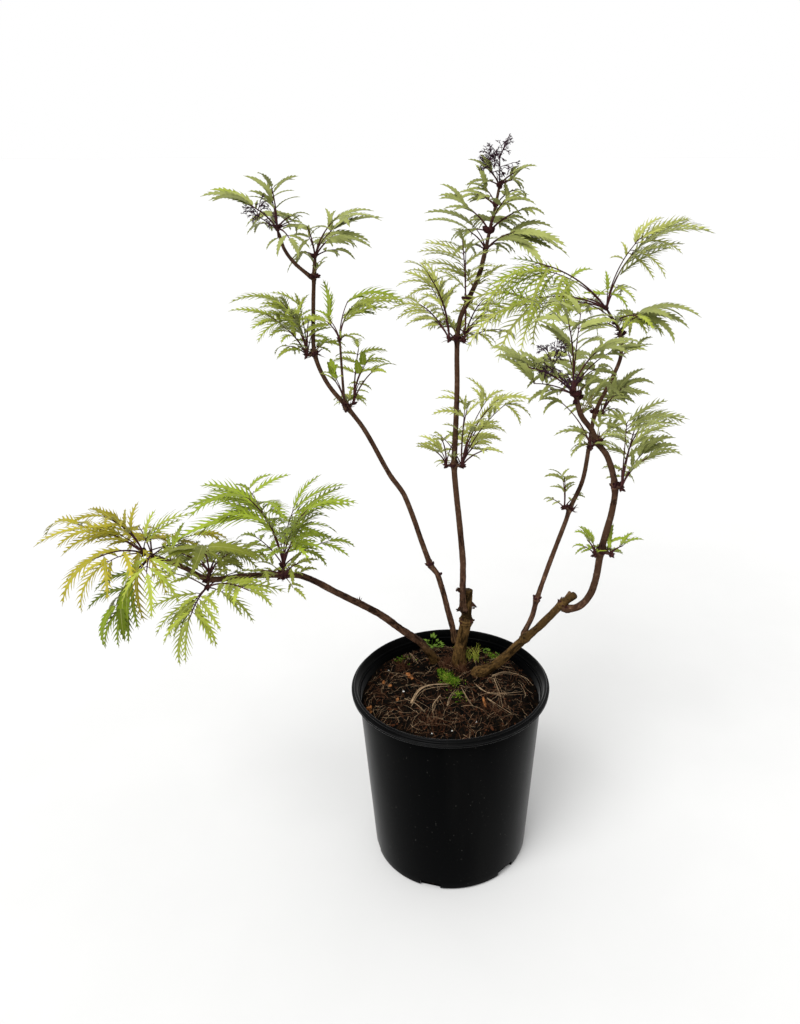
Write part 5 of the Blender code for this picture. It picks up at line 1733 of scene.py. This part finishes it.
def bark_finish(settings, name, factor, top, foot):
    """Reddish young bark with pale pores that turns to rough ochre brown between two heights, all of it made
    darker or lighter by the factor, for the painted shade in the furrows and the painted highlight on the
    ridges.
    """
    finish = Finish(name, shade(settings.young, factor), 0.62)
    finish.gloss(FAINT_GLOSS)
    finish.patches(shade(PALE_PORES, factor), 0.52, 0.70, 170, 6)
    finish.patches(shade(DARK_STREAKS, factor), 0.52, 0.68, 90, 6, (1, 1, 0.4))
    old = finish.between(finish.height_above(), top, foot)
    finish.mottle(shade(settings.old, factor), old)
    patches = finish.between(finish.noise(420, 6), 0.50, 0.70)
    both = finish.nodes.new("ShaderNodeMath")
    both.operation = "MULTIPLY"
    finish.links.new(old, both.inputs[0])
    finish.links.new(patches, both.inputs[1])
    finish.mottle(shade(OLD_PATCHES, factor), both.outputs[0])
    finish.rough(finish.noise(90, 3), 0.52, 0.80)
    finish.bump(finish.noise(420, 6), 0.0005)
    finish.bump(finish.noise(1500, 3), 0.0001)
    return finish.material


def stalk_line(heap, line, radius, tip_radius, finish, foot=1.6):
    """A smooth leaf stalk with a swollen foot."""
    fine = smooth_line(line, 0.0025)[0]
    travelled = lengths_along(fine)
    radii = []
    for here in travelled:
        taper = radius + (tip_radius - radius) * here / travelled[-1]
        radii.append(taper * (1 + (foot - 1) * math.exp(-here / 0.0018)))
    heap.add(*tube(fine, radii, 7), finish)


def blade_course(blade, chance):
    """A leaflet's rib, which falls less than the solid's and ends where that one does."""
    fall = BLADE_FALL + chance.uniform(-16, 16)
    full, half = math.radians(LEAFLET_FALL / 2), math.radians(fall / 2)
    length = blade.length * (math.sin(full) / full) / (math.sin(half) / half)
    return arch(blade.base, blade.heading, blade.rise, length, fall, BLADE_STEPS)


@lru_cache(maxsize=None)
def blade_plan(teeth):
    """The faces of a leaflet's upper side and the edges round its outline, for this many teeth a side.

    Each cross line has four points: the blade's left edge, the rib's two edges and the blade's
    right edge. The tip follows them, and then three points for each tooth.
    """
    lines = 2 * teeth + 2
    tip = 4 * lines
    rib, green = [], []
    for line in range(lines - 1):
        a, b = 4 * line, 4 * line + 4
        rib.append((a + 2, b + 2, b + 1, a + 1))
        green += [(a + 1, b + 1, b, a), (a + 3, b + 3, b + 2, a + 2)]
    end = tip - 4
    rib.append((end + 2, tip, end + 1))
    green += [(end + 1, tip, end), (end + 3, tip, end + 2)]
    for tooth in range(teeth):
        a, b = 4 * (2 * tooth + 1), 4 * (2 * tooth + 2)
        left = tip + 1 + 6 * tooth
        right = left + 3
        green += [(a, b, left + 1, left), (left, left + 1, left + 2)]
        green += [(right, right + 1, b + 3, a + 3), (right + 2, right + 1, right)]
    edges = {}
    for face in rib + green:
        for a, b in zip(face, face[1:] + face[:1]):
            edges[(a, b)] = True
    outline = [edge for edge in edges if (edge[1], edge[0]) not in edges]
    return rib, green, outline


def leaflet(heap, blade, leaf_settings, chance, finishes):
    """A closed, toothed and folded leaflet that droops along its arch."""
    cut = CUTS[blade.cut]
    teeth = max(4, min(MOST_TEETH, round(cut.teeth * (blade.length / USUAL_LEAFLET) ** 0.6)))
    deep = cut.depth * min(1, (blade.length / USUAL_LEAFLET) ** 0.45)
    course = blade_course(blade, chance)
    to_light = chance.uniform(*LIGHT_TURN)
    twist = chance.uniform(-1, 1) * leaf_settings.twist
    fold = math.radians(leaf_settings.fold + chance.uniform(-8, 8))
    sway = chance.uniform(-0.05, 0.05) * blade.length
    sides, ups = [], []
    for i in range(BLADE_STEPS + 1):
        along = (course[min(i + 1, BLADE_STEPS)] - course[max(i - 1, 0)]).normalized()
        up = rolled(along, blade.heading, blade.roll + twist * i / BLADE_STEPS)[1].lerp(LIGHT, to_light)
        up = (up - along * up.dot(along)).normalized()
        sides.append(up.cross(along))
        ups.append(up)
    widest = cut.half_width * blade.length

    def width(share):
        return widest * math.sin(math.pi * min(1, max(0, share)) ** 0.72) ** 0.9 * (1 - 0.12 * share)

    spots = []

    def spot(share, across, above=0.0, depth=None):
        """Notes a point of the blade: its place on the rib, its distance from it and its height."""
        inside = min(max(share, 0), 1) * BLADE_STEPS
        i = min(int(inside), BLADE_STEPS - 1)
        part = inside - i
        up = ups[i].lerp(ups[i + 1], part)
        side = sides[i].lerp(sides[i + 1], part)
        centre = course[i].lerp(course[i + 1], part) + side * (sway * math.sin(math.pi * share))
        if share > 1:
            centre = centre + (course[-1] - course[-2]).normalized() * ((share - 1) * blade.length)
        out = abs(across)
        raised = out * math.sin(fold) - out * out * 0.55 / widest * math.sin(fold) * 1.6 + above
        point = centre + side * (across * math.cos(fold)) + up * raised
        spots.append((point, up, depth or leaf_settings.thickness))

    step = (BLADE_END - BLADE_START) / teeth
    shares = [BLADE_START]
    for tooth in range(teeth):
        gap = cut.gap * 0.5
        shares += [BLADE_START + (tooth + gap) * step, BLADE_START + (tooth + 1 - gap) * step]
    shares.append(BLADE_END)
    ripple = 0.06 * step * blade.length
    for share in shares:
        body = max(width(share) * (1 - deep), THINNEST_BLADE * (1.2 - share))
        rib = RIB_HALF_WIDTH * (1.15 - share)
        body = max(body, rib * 1.5)
        spot(share, body, -ripple)
        spot(share, rib, -0.00008, leaf_settings.thickness * 2.2)
        spot(share, -rib, -0.00008, leaf_settings.thickness * 2.2)
        spot(share, -body, -ripple)
    spot(1, 0)
    for tooth in range(teeth):
        low, high = shares[2 * tooth + 1], shares[2 * tooth + 2]
        middle = (low + high) / 2
        for hand in (1, -1):
            full = width(middle) * chance.uniform(0.74, 1.18)
            body = max(width(middle) * (1 - deep), THINNEST_BLADE)
            reach = max(full - body, THINNEST_BLADE)
            forward = reach / math.tan(math.radians(cut.lean + chance.uniform(-5, 5))) / blade.length
            for along, across, level in ((-0.30, 0.44, 0.4), (0.24, 0.50, 0.4), (0.10, 1.0, 0.0)):
                share = middle + (high - low) * along + forward * across
                spot(share, hand * (body + reach * across), ripple * level)
    rib, green, outline = blade_plan(teeth)
    upper, rib_finish, under = finishes
    top = [point + up * (depth * 0.4) for point, up, depth in spots]
    back = [point - up * (depth * 0.6) for point, up, depth in spots]
    heap.add(top, green, upper)
    start = len(heap.points) - len(top)
    heap.faces += [tuple(start + corner for corner in face) for face in rib]
    heap.finishes += [rib_finish] * len(rib)
    heap.add(back, [tuple(reversed(face)) for face in green + rib], under)
    heap.add(top + back, [(b, a, a + len(top), b + len(top)) for a, b in outline], under)


TINTS = ("gold", "lime", "fresh", "olive", "dull", "deep", "pale")
SHADES = (0.72, 1.0, 1.24)
UNDER_FINISH = len(TINTS) * len(SHADES)


def leaf_materials(settings):
    """Three near shades of each tint, then the two undersides and the rib."""
    materials = []
    for tint in TINTS:
        for number, factor in enumerate(SHADES):
            colour = shade(getattr(settings, tint), factor)
            finish = Finish(f"leaf_{tint}_{number}", colour, 0.55)
            finish.gloss(LEAF_GLOSS)
            finish.patches(shade(colour, 0.76), 0.50, 0.66, 110, 3)
            finish.rough(finish.noise(160, 3), 0.48, 0.62)
            finish.bump(finish.noise(520, 4), 0.00035)
            materials.append(finish.material)
    underside = tuple(settings.underside)
    golden = tuple((a + b) / 2 for a, b in zip(underside, settings.gold))
    rest = {"leaf_under": underside, "leaf_under_gold": golden, "leaf_rib": (0.22, 0.23, 0.05)}
    for name, colour in rest.items():
        finish = Finish(name, colour, 0.6)
        finish.bump(finish.noise(600, 4), 0.0003)
        materials.append(finish.material)
    return materials


def leaf_finishes(tint, chance):
    """The upper, rib and under finishes of one leaflet."""
    number = TINTS.index(tint) * len(SHADES) + chance.choice((0, 1, 1, 2))
    return number, UNDER_FINISH + 2, UNDER_FINISH + (1 if tint == "gold" else 0)


BRANCHES = ("left", "rear", "centre", "right_inner", "right_outer")


def branch_of(name):
    """The branch that a limb or mass belongs to, by its name."""
    place = name.split("_", 1)[1]
    return next(branch for branch in BRANCHES if place.startswith(branch))


def stalk_materials(settings):
    """The purple and the green stalks, and the bark of the shoots."""
    stalk = tuple(settings.stalk)
    return [
        mottled("stalk_purple", stalk, 0.5, shade(stalk, 1.7), 200, 0.0001),
        mottled("stalk_green", (0.20, 0.19, 0.06), 0.55, (0.13, 0.075, 0.04), 160, 0.0001),
        mottled("shoot_bark", (0.040, 0.020, 0.014), 0.55, (0.080, 0.047, 0.030), 220, 0.0002),
    ]


def fine_blades(mass, grown, chance):
    """The leaflets of a leaf that come between those of the solids, each a little smaller."""
    leaf, blades = grown.row, []
    for number in range(leaf.pairs):
        share = pair_share(leaf, number + 0.5)
        if share >= LOWEST_FILL_AT:
            blades += pair_at(mass, leaf, grown, share, 0.78, chance)
    return blades


def pair_at(mass, leaf, grown, share, size, chance):
    """A pair of leaflets at this share of a leaf's course."""
    blades = []
    base, step = point_on(grown.course, share)
    for hand in (1, -1):
        spread, rise = leaflet_way(leaf, step, hand)
        rise += chance.uniform(-16, 16)
        length = leaf.leaflet * (BASE_LEAFLET_SHARE + (1 - BASE_LEAFLET_SHARE) * share) * size
        away = grown.heading + spread + chance.uniform(-12, 12)
        roll = chance.uniform(-22, 22) - 12 * hand
        length *= chance.uniform(0.8, 1.1)
        blades.append(Blade(base, away, rise, length, roll, *looks_of(mass, leaf)))
    return blades


def companions(mass, chance):
    """Smaller leaves that fill the far side of a mass round its joints, as rows."""
    length = max(leaf.length for leaf in mass.leaves)
    leaflet_length = sum(leaf.leaflet for leaf in mass.leaves) / len(mass.leaves)
    rows = []
    for joint in range(len(mass.shoot) + 1):
        for number in range(mass.fill):
            heading = 90 + 170 * ((number + 0.5) / mass.fill - 0.5) + chance.uniform(-22, 22)
            size = chance.uniform(0.42, 0.72)
            rise = chance.uniform(-4, 30)
            rows.append(Leaf(joint, heading, rise, length * size, leaflet_length * (0.35 + size / 2), 2))
    return rows


def grow_spray(row, joints, chance):
    """A finer leaf from its row, with leaflets of their own places and sizes."""
    joint, heading, rise, length, cut, tint, blades = row
    course = arch(joints[joint], heading, rise, metres(length), STALK_ARCH, STALK_STEPS)
    grown = GrownLeaf(None, heading, course, [])
    for percent, away, up, size in blades:
        base = point_on(course, percent / 100)[0]
        grown.blades.append(Blade(base, away, up, metres(size), chance.uniform(-22, 22), cut, tint))
    return grown


def grow_companion(mass, leaf, start, chance):
    """A leaf that has no solid of its own."""
    course = arch(start, leaf.heading, leaf.rise, leaf.length, STALK_ARCH, STALK_STEPS)
    grown = GrownLeaf(leaf, leaf.heading, course, [])
    tip_rise = LEAFLET_RISE * (leaf.rise - STALK_ARCH / 2) - LEAFLET_HANG + leaf.lift
    away, roll = leaf.heading + chance.uniform(-10, 10), chance.uniform(-20, 20)
    grown.blades.append(Blade(course[-1], away, tip_rise, leaf.leaflet, roll, *looks_of(mass, leaf)))
    for pair in range(leaf.pairs):
        grown.blades.extend(pair_at(mass, leaf, grown, pair_share(leaf, pair), 1.0, chance))
    return grown


# Radii of a leaf stalk's foot and tip, and how stout the solids' own and the added leaves' stalks are
LEAF_STALK = (0.00088, 0.00048)
OWN_STOUTNESS = 1.15
ADDED_STOUTNESS = 0.88
LEAFLET_STALK_RADIUS = 0.00042


def grow_mass(leaves, twigs, row, mass, settings, chance):
    """The shoot, stalks and leaflets of one mass: the solids' own leaves, companions and sprays."""
    shoot = mass.shoot
    fine = smooth_line([shoot.line[0] - shoot.facing * 0.002, *shoot.line], 0.002)[0]
    stalk_line(twigs, fine, shoot.radii[0] * 0.92, shoot.radii[-1] * 0.8, 2, 1.25)
    added = [grow_companion(row, leaf, shoot.joints[leaf.joint], chance) for leaf in companions(row, chance)]
    sprays = SPRAYS.get(row.name.removeprefix("foliage_"), ())
    added += [grow_spray(spray, shoot.joints, chance) for spray in sprays]
    for leaf in mass.leaves + added:
        own = leaf in mass.leaves
        foot, tip = (radius * (OWN_STOUTNESS if own else ADDED_STOUTNESS) for radius in LEAF_STALK)
        stalk_line(twigs, leaf.course, foot, tip, 0)
        behind = math.sin(math.radians(leaf.heading)) > 0
        finer = own and (row.fill > 2 or row.fill == 2 and behind)
        for blade in leaf.blades + (fine_blades(row, leaf, chance) if finer else []):
            stem = arch(blade.base, blade.heading, blade.rise, blade.length, LEAFLET_FALL, BLADE_STEPS)[:3]
            strand(twigs, stem, LEAFLET_STALK_RADIUS, 0, 5, 0.8)
            leaflet(leaves, blade, settings.leaf, chance, leaf_finishes(blade.tint, chance))


def grow_branch(branch, settings):
    """The leaves and the twigs of one branch's masses, as two pieces."""
    leaves, twigs, chance = Heap(), Heap(), Random("leaves " + branch)
    rows = [row for row in MASSES if branch_of(row.name) == branch]
    for row in rows:
        grow_mass(leaves, twigs, row, grown_shrub()[1][row.name], settings, chance)
    for limb, sprigs in SPRIGS.items():
        if branch_of(limb) == branch:
            for sprig in sprigs:
                grow_sprig(leaves, twigs, limb, Sprig(*in_metres(sprig, 4, 5)), settings, chance)
    names = [row.name for row in rows]
    leaves.piece("leaves_" + branch, leaf_materials(settings.leaf), "foliage", names)
    twigs.piece("twigs_" + branch, stalk_materials(settings.bark), "bark", names)


def grow_sprig(leaves, twigs, bearer, sprig, settings, chance):
    """A fan of short young leaves at a point of a limb, each with three leaflets."""
    limb = grown_shrub()[0][bearer]
    start = limb.line[limb.place(sprig.at)]
    for number in range(sprig.count):
        heading = sprig.heading + SPRIG_FAN * (number - (sprig.count - 1) / 2) + chance.uniform(-12, 12)
        rise = sprig.rise + chance.uniform(-16, 16)
        size = sprig.size * chance.uniform(0.75, 1.15)
        course = arch(start, heading, rise, size * 0.7 + 0.004, STALK_ARCH, STALK_STEPS)
        stalk_line(twigs, course, 0.0006, 0.0004, 1, 1.3)
        for share, hand in ((1.0, 0), (0.72, 1), (0.70, -1)):
            base = point_on(course, share)[0]
            length = size * (1 if hand == 0 else 0.72) * chance.uniform(0.85, 1.1)
            away = heading + SPRIG_SPREAD * hand + chance.uniform(-10, 10)
            blade = Blade(base, away, rise * 0.7, length, chance.uniform(-30, 30), "cut", sprig.tint)
            leaflet(leaves, blade, settings.leaf, chance, leaf_finishes(sprig.tint, chance))


def make_stub(heap, stub, start, lean, chance):
    """One bud, brush of scales, knot or cut end."""
    if stub.kind == "cut":
        line = smooth_line([start + lean * stub.length * share for share in (0, 0.5, 1)], 0.0012)[0]
        heap.add(*tube(line, [stub.radius] * len(line), 12), 2)
    elif stub.kind == "knot":
        for _ in range(KNOT_CRUMBS):
            way = direction(chance.uniform(0, 360), chance.uniform(-70, 90)) * chance.uniform(0.2, 1)
            size = stub.radius * chance.uniform(0.3, 0.6)
            heap.add(*crumb(start + lean * stub.length + way * stub.radius, size, chance), 3)
    else:
        bud_scales(heap, start, lean, stub, chance)


def make_stubs(settings):
    """Buds, spiky bud scales and the stubs of cut shoots, in one mesh."""
    heap, chance = Heap(), Random("stubs")
    limbs, masses = grown_shrub()
    for bearer, rows in STUBS:
        for row in rows:
            stub = Stub(*in_metres(row, 3, 5))
            make_stub(heap, stub, *bud_seat(bearer, stub, limbs, masses), chance)
    for limb in limbs.values():
        for joint in limb.limb.joints:
            index = limb.place(joint)
            node_scales(heap, limb.line[index], limb.tangent(index), limb.radii[index], 1, chance)
    for mass in masses.values():
        shoot = mass.shoot
        for joint, place in enumerate(shoot.joints):
            along = (shoot.line[joint + 2] - place).normalized()
            node_scales(heap, place, along, shoot.radii[joint + 1], 0.75, chance)
    bud, stalk = tuple(settings.bud), tuple(settings.stalk)
    materials = [
        mottled("bud_maroon", bud, 0.42, shade(bud, 2.2), 260, 0.0002),
        mottled("bud_scale", shade(stalk, 0.7), 0.6, shade(stalk, 1.6), 260, 0.0002),
        mottled("cut_wood", (0.115, 0.066, 0.034), 0.8, (0.05, 0.028, 0.016), 260, 0.0005),
        mottled("knot", (0.020, 0.010, 0.007), 0.85, (0.075, 0.038, 0.024), 300, 0.0004),
    ]
    heap.piece("buds", materials, "bark")


def bud_scales(heap, start, lean, stub, chance):
    """A plump bud of overlapping scales, or a brush of thin ones."""
    heading = math.degrees(math.atan2(lean.y, lean.x))
    rise = math.degrees(math.asin(max(-1, min(1, lean.z))))
    plump = stub.kind == "bud"
    if plump:
        line = [start + lean * (stub.length * share) for share in (0, 0.2, 0.45, 0.7, 0.88, 1)]
        swell = (0.7, 1.0, 1.12, 0.85, 0.45, 0.08)
        heap.add(*tube(line, [stub.radius * factor for factor in swell], 10), 0)
    for number in range(7 if plump else 6):
        turn = 360 * number / 7 + chance.uniform(-20, 20)
        out = 22 if plump else 34
        away = heading + out * math.cos(math.radians(turn)) + chance.uniform(-8, 8)
        up = rise + out * math.sin(math.radians(turn)) + chance.uniform(-8, 8)
        length = stub.length * chance.uniform(0.55, 1.0)
        course = arch(start, away, up, length, chance.uniform(-50, 50), 5)
        stout = 0.62 if plump else 0.42
        widths = [stub.radius * factor * stout for factor in (0.9, 1.0, 0.85, 0.6, 0.35, 0.06)]
        heap.add(*tube(course, widths, 5), 0 if plump else 1)


def bud_seat(bearer, stub, limbs, masses):
    """Where a bud sits and the way it leaves, on a limb or at a joint of a mass's shoot."""
    wanted = direction(stub.heading, stub.rise)
    if bearer in masses:
        return masses[bearer].shoot.joints[stub.at], wanted
    limb = limbs[bearer]
    facing = outward_from(limb, stub.at, stub.heading, stub.rise)
    index = limb.place(stub.at)
    return limb.line[index] + facing * (limb.radii[index] * 0.55), (facing + wanted).normalized()


def node_scales(heap, centre, along, radius, size, chance):
    """The dark knot of old scales round a node."""
    across = along.orthogonal().normalized()
    upright = along.cross(across)
    for number in range(NODE_SCALES):
        turn = math.radians(360 * number / NODE_SCALES + chance.uniform(-20, 20))
        facing = across * math.cos(turn) + upright * math.sin(turn)
        start = centre + facing * (radius * 0.7) + along * (size * chance.uniform(-0.0024, 0.0024))
        lean = (facing + along * chance.uniform(0.6, 2.2)).normalized()
        length = size * chance.uniform(0.0024, 0.0056)
        line = [start + lean * (length * share) for share in (0, 0.35, 0.7, 1)]
        width = size * chance.uniform(0.0010, 0.0018)
        heap.add(*tube(line, [width * factor for factor in (1.0, 1.1, 0.7, 0.12)], 5), number % 2)


def head_forks(heap, start, heading, rise, length, radius, level, chance):
    """A dried twig that curls and forks into finer ones, each ending in a tiny knob."""
    course = arch(start, heading, rise, length, chance.uniform(30, 130), 4)
    strand(heap, course, radius, 0, 3, 0.7)
    if level == 0:
        heap.add(*crumb(course[-1], radius * chance.uniform(1.5, 2.2), chance), 1)
        return
    for turn in FORK_TURNS:
        if turn == FORK_TURNS[1] and chance.random() < MIDDLE_FORK_MISSING:
            continue
        away = heading + turn + chance.uniform(-18, 18)
        up = rise + chance.uniform(-34, 26)
        base = point_on(course, chance.uniform(0.55, 1.0))[0]
        head_forks(heap, base, away, up, length * 0.62, radius * 0.86, level - 1, chance)


# A head on a stalk longer than this is a large one, with more twigs
LONG_HEAD_STALK = 0.030


def make_flower_heads(settings):
    """The dried heads: the stalks and spokes of the solids, carried on to fine forked twigs."""
    heap, chance, names = Heap(), Random("heads"), []
    for name, mass in grown_shrub()[1].items():
        for lines in mass.heads:
            if not lines:
                continue
            names.append(name)
            strand(heap, smooth_line(lines[0], 0.002)[0], HEAD_TWIG_RADIUS, 0, 6, 0.8)
            bunch = 4 if lengths_along(lines[0])[-1] > LONG_HEAD_STALK else 2
            for line in lines[1:]:
                strand(heap, smooth_line(line, 0.003)[0], SPOKE_RADIUS, 0, 5, 0.7)
                end = line[-1] - line[-2]
                heading = math.degrees(math.atan2(end.y, end.x))
                rise = math.degrees(math.asin(max(-1, min(1, end.normalized().z))))
                for start in line[1:] * bunch:
                    away, up = heading + chance.uniform(-60, 60), rise + chance.uniform(-75, 0)
                    head_forks(
                        heap, start, away, up, FORK_LENGTH, settings.radius, settings.forks - 1, chance
                    )
    dried = tuple(settings.dried)
    twig = mottled("dried_twig", dried, 0.7, shade(dried, 1.8))
    knob = mottled("dried_knob", shade(dried, 0.8), 0.7)
    heap.piece("flower_heads", [twig, knob], "bark", names)


def broad_light(settings):
    """One broad soft light from above the viewer's left, far enough to light the whole floor evenly."""
    light = bpy.data.lights.new("key", "SUN")
    light.energy = settings.key
    light.angle = math.radians(settings.softness)
    lamp = bpy.data.objects.new("key", light)
    lamp.rotation_euler = LIGHT_FALLS.to_track_quat("-Z", "Y").to_euler()
    bpy.context.scene.collection.objects.link(lamp)


def make_camera():
    """The camera that sees the shrub as the photo does."""
    camera = bpy.data.cameras.new("camera")
    camera.sensor_width = SENSOR_WIDTH
    camera.lens = camera.sensor_width * FOCAL_PIXELS / FRAME_LONG_SIDE
    camera.shift_x = -CENTRE_OFFSET_PIXELS / FRAME_LONG_SIDE
    camera.clip_start = NEAREST_SEEN
    viewer = bpy.data.objects.new("camera", camera)
    viewer.location = CAMERA_PLACE
    viewer.rotation_euler = (math.radians(90 - CAMERA_DOWN), 0, 0)
    bpy.context.scene.collection.objects.link(viewer)
    bpy.context.scene.camera = viewer


class ELDER_OT_stage(bpy.types.Operator):
    """Make the pale floor, the soft studio light and the camera"""

    bl_idname = "elder.stage"
    bl_label = "Stage"

    def execute(self, context):
        settings = context.scene.elder.stage
        mesh = bpy.data.meshes.new("floor")
        shell = bmesh.new()
        bmesh.ops.create_circle(shell, cap_ends=True, segments=96, radius=FLOOR_RADIUS)
        shell.to_mesh(mesh)
        shell.free()
        finish = Finish("floor", settings.floor, 0.75)
        finish.patches(shade(settings.floor, 0.985), 0.4, 0.6, 6)
        mesh.materials.append(finish.material)
        floor = bpy.data.objects.new("floor", mesh)
        context.scene.collection.objects.link(floor)
        world = bpy.data.worlds.new("studio")
        world.use_nodes = True
        background = world.node_tree.nodes["Background"]
        background.inputs["Color"].default_value = (1, 1, 1, 1)
        background.inputs["Strength"].default_value = settings.sky
        context.scene.world = world
        context.scene.view_settings.view_transform = "Standard"
        broad_light(settings)
        make_camera()
        return {"FINISHED"}


class ELDER_OT_pot(bpy.types.Operator):
    """Turn the nursery pot with its rolled rim and drainage slots"""

    bl_idname = "elder.pot"
    bl_label = "Pot"

    def execute(self, context):
        settings = context.scene.elder.pot
        glosses = {"pot_wall": WALL_GLOSS, "pot_rim": RIM_GLOSS}
        materials = [pot_plastic(settings, name, gloss) for name, gloss in glosses.items()]
        heap = Heap()
        heap.add(*turned(pot_profile(), settings.segments))
        pot = heap.piece("nursery_pot", materials, "pot_plastic", ("pot",))
        cut_slots(pot, materials[0])
        for polygon in pot.data.polygons:
            polygon.material_index = int(polygon.center.z > POT_HEIGHT - RIM_BAND)
        return {"FINISHED"}


class ELDER_OT_soil(bpy.types.Operator):
    """Make the lumpy compost and what lies on it"""

    bl_idname = "elder.soil"
    bl_label = "Compost"

    def execute(self, context):
        settings = context.scene.elder.soil
        finish = Finish("compost", settings.compost, 0.92)
        finish.patches((0.015, 0.008, 0.004), 0.54, 0.66, 190, 6)
        finish.patches((0.002, 0.002, 0.002), 0.50, 0.60, 90, 5)
        finish.gloss(FAINT_GLOSS)
        finish.bump(finish.noise(700, 6), 0.0020)
        heap = Heap()
        heap.add(*make_soil_bed(settings))
        heap.piece("compost_bed", [finish.material], "compost", ("soil",))
        make_litter(settings)
        make_ground_greens(settings)
        return {"FINISHED"}


class ELDER_OT_bark(bpy.types.Operator):
    """Make the trunks and boughs with the relief of their bark, and their buds"""

    bl_idname = "elder.bark"
    bl_label = "Bark and buds"

    def execute(self, context):
        settings = context.scene.elder.bark
        make_bark(settings)
        make_stubs(settings)
        return {"FINISHED"}


class ELDER_OT_foliage(bpy.types.Operator):
    """Grow the shoots, leaf stalks and toothed leaflets of every branch"""

    bl_idname = "elder.foliage"
    bl_label = "Foliage"

    def execute(self, context):
        for branch in BRANCHES:
            grow_branch(branch, context.scene.elder)
        return {"FINISHED"}


class ELDER_OT_flower_heads(bpy.types.Operator):
    """Grow the dried, forked flower heads"""

    bl_idname = "elder.flower_heads"
    bl_label = "Flower heads"

    def execute(self, context):
        make_flower_heads(context.scene.elder.head)
        return {"FINISHED"}


STEPS = (
    ("stage", ELDER_OT_stage),
    ("pot", ELDER_OT_pot),
    ("soil", ELDER_OT_soil),
    ("bark", ELDER_OT_bark),
    ("foliage", ELDER_OT_foliage),
    ("head", ELDER_OT_flower_heads),
)


class ELDER_PT_panel(bpy.types.Panel):
    """The pieces of the potted elderberry, with their settings"""

    bl_label = "Potted elderberry"
    bl_idname = "ELDER_PT_panel"
    bl_space_type = "VIEW_3D"
    bl_region_type = "UI"
    bl_category = "Elderberry"

    def draw(self, context):
        settings = context.scene.elder
        for group, operator in STEPS:
            box = self.layout.box()
            box.operator(operator.bl_idname)
            owner = getattr(settings, "leaf" if group == "foliage" else group)
            for name in owner.bl_rna.properties.keys():
                if name not in ("rna_type", "name"):
                    box.prop(owner, name)


CLASSES = (
    PotSettings,
    SoilSettings,
    BarkSettings,
    LeafSettings,
    HeadSettings,
    StageSettings,
    ElderSettings,
    *(operator for _, operator in STEPS),
    ELDER_PT_panel,
)


def register():
    for kind in CLASSES:
        bpy.utils.register_class(kind)
    bpy.types.Scene.elder = PointerProperty(type=ElderSettings)


def unregister():
    del bpy.types.Scene.elder
    for kind in reversed(CLASSES):
        bpy.utils.unregister_class(kind)


def main():
    """Makes every piece."""
    register()
    bpy.ops.elder.stage()
    bpy.ops.elder.pot()
    bpy.ops.elder.soil()
    bpy.ops.elder.bark()
    bpy.ops.elder.foliage()
    bpy.ops.elder.flower_heads()


if __name__ == "__main__":
    main()
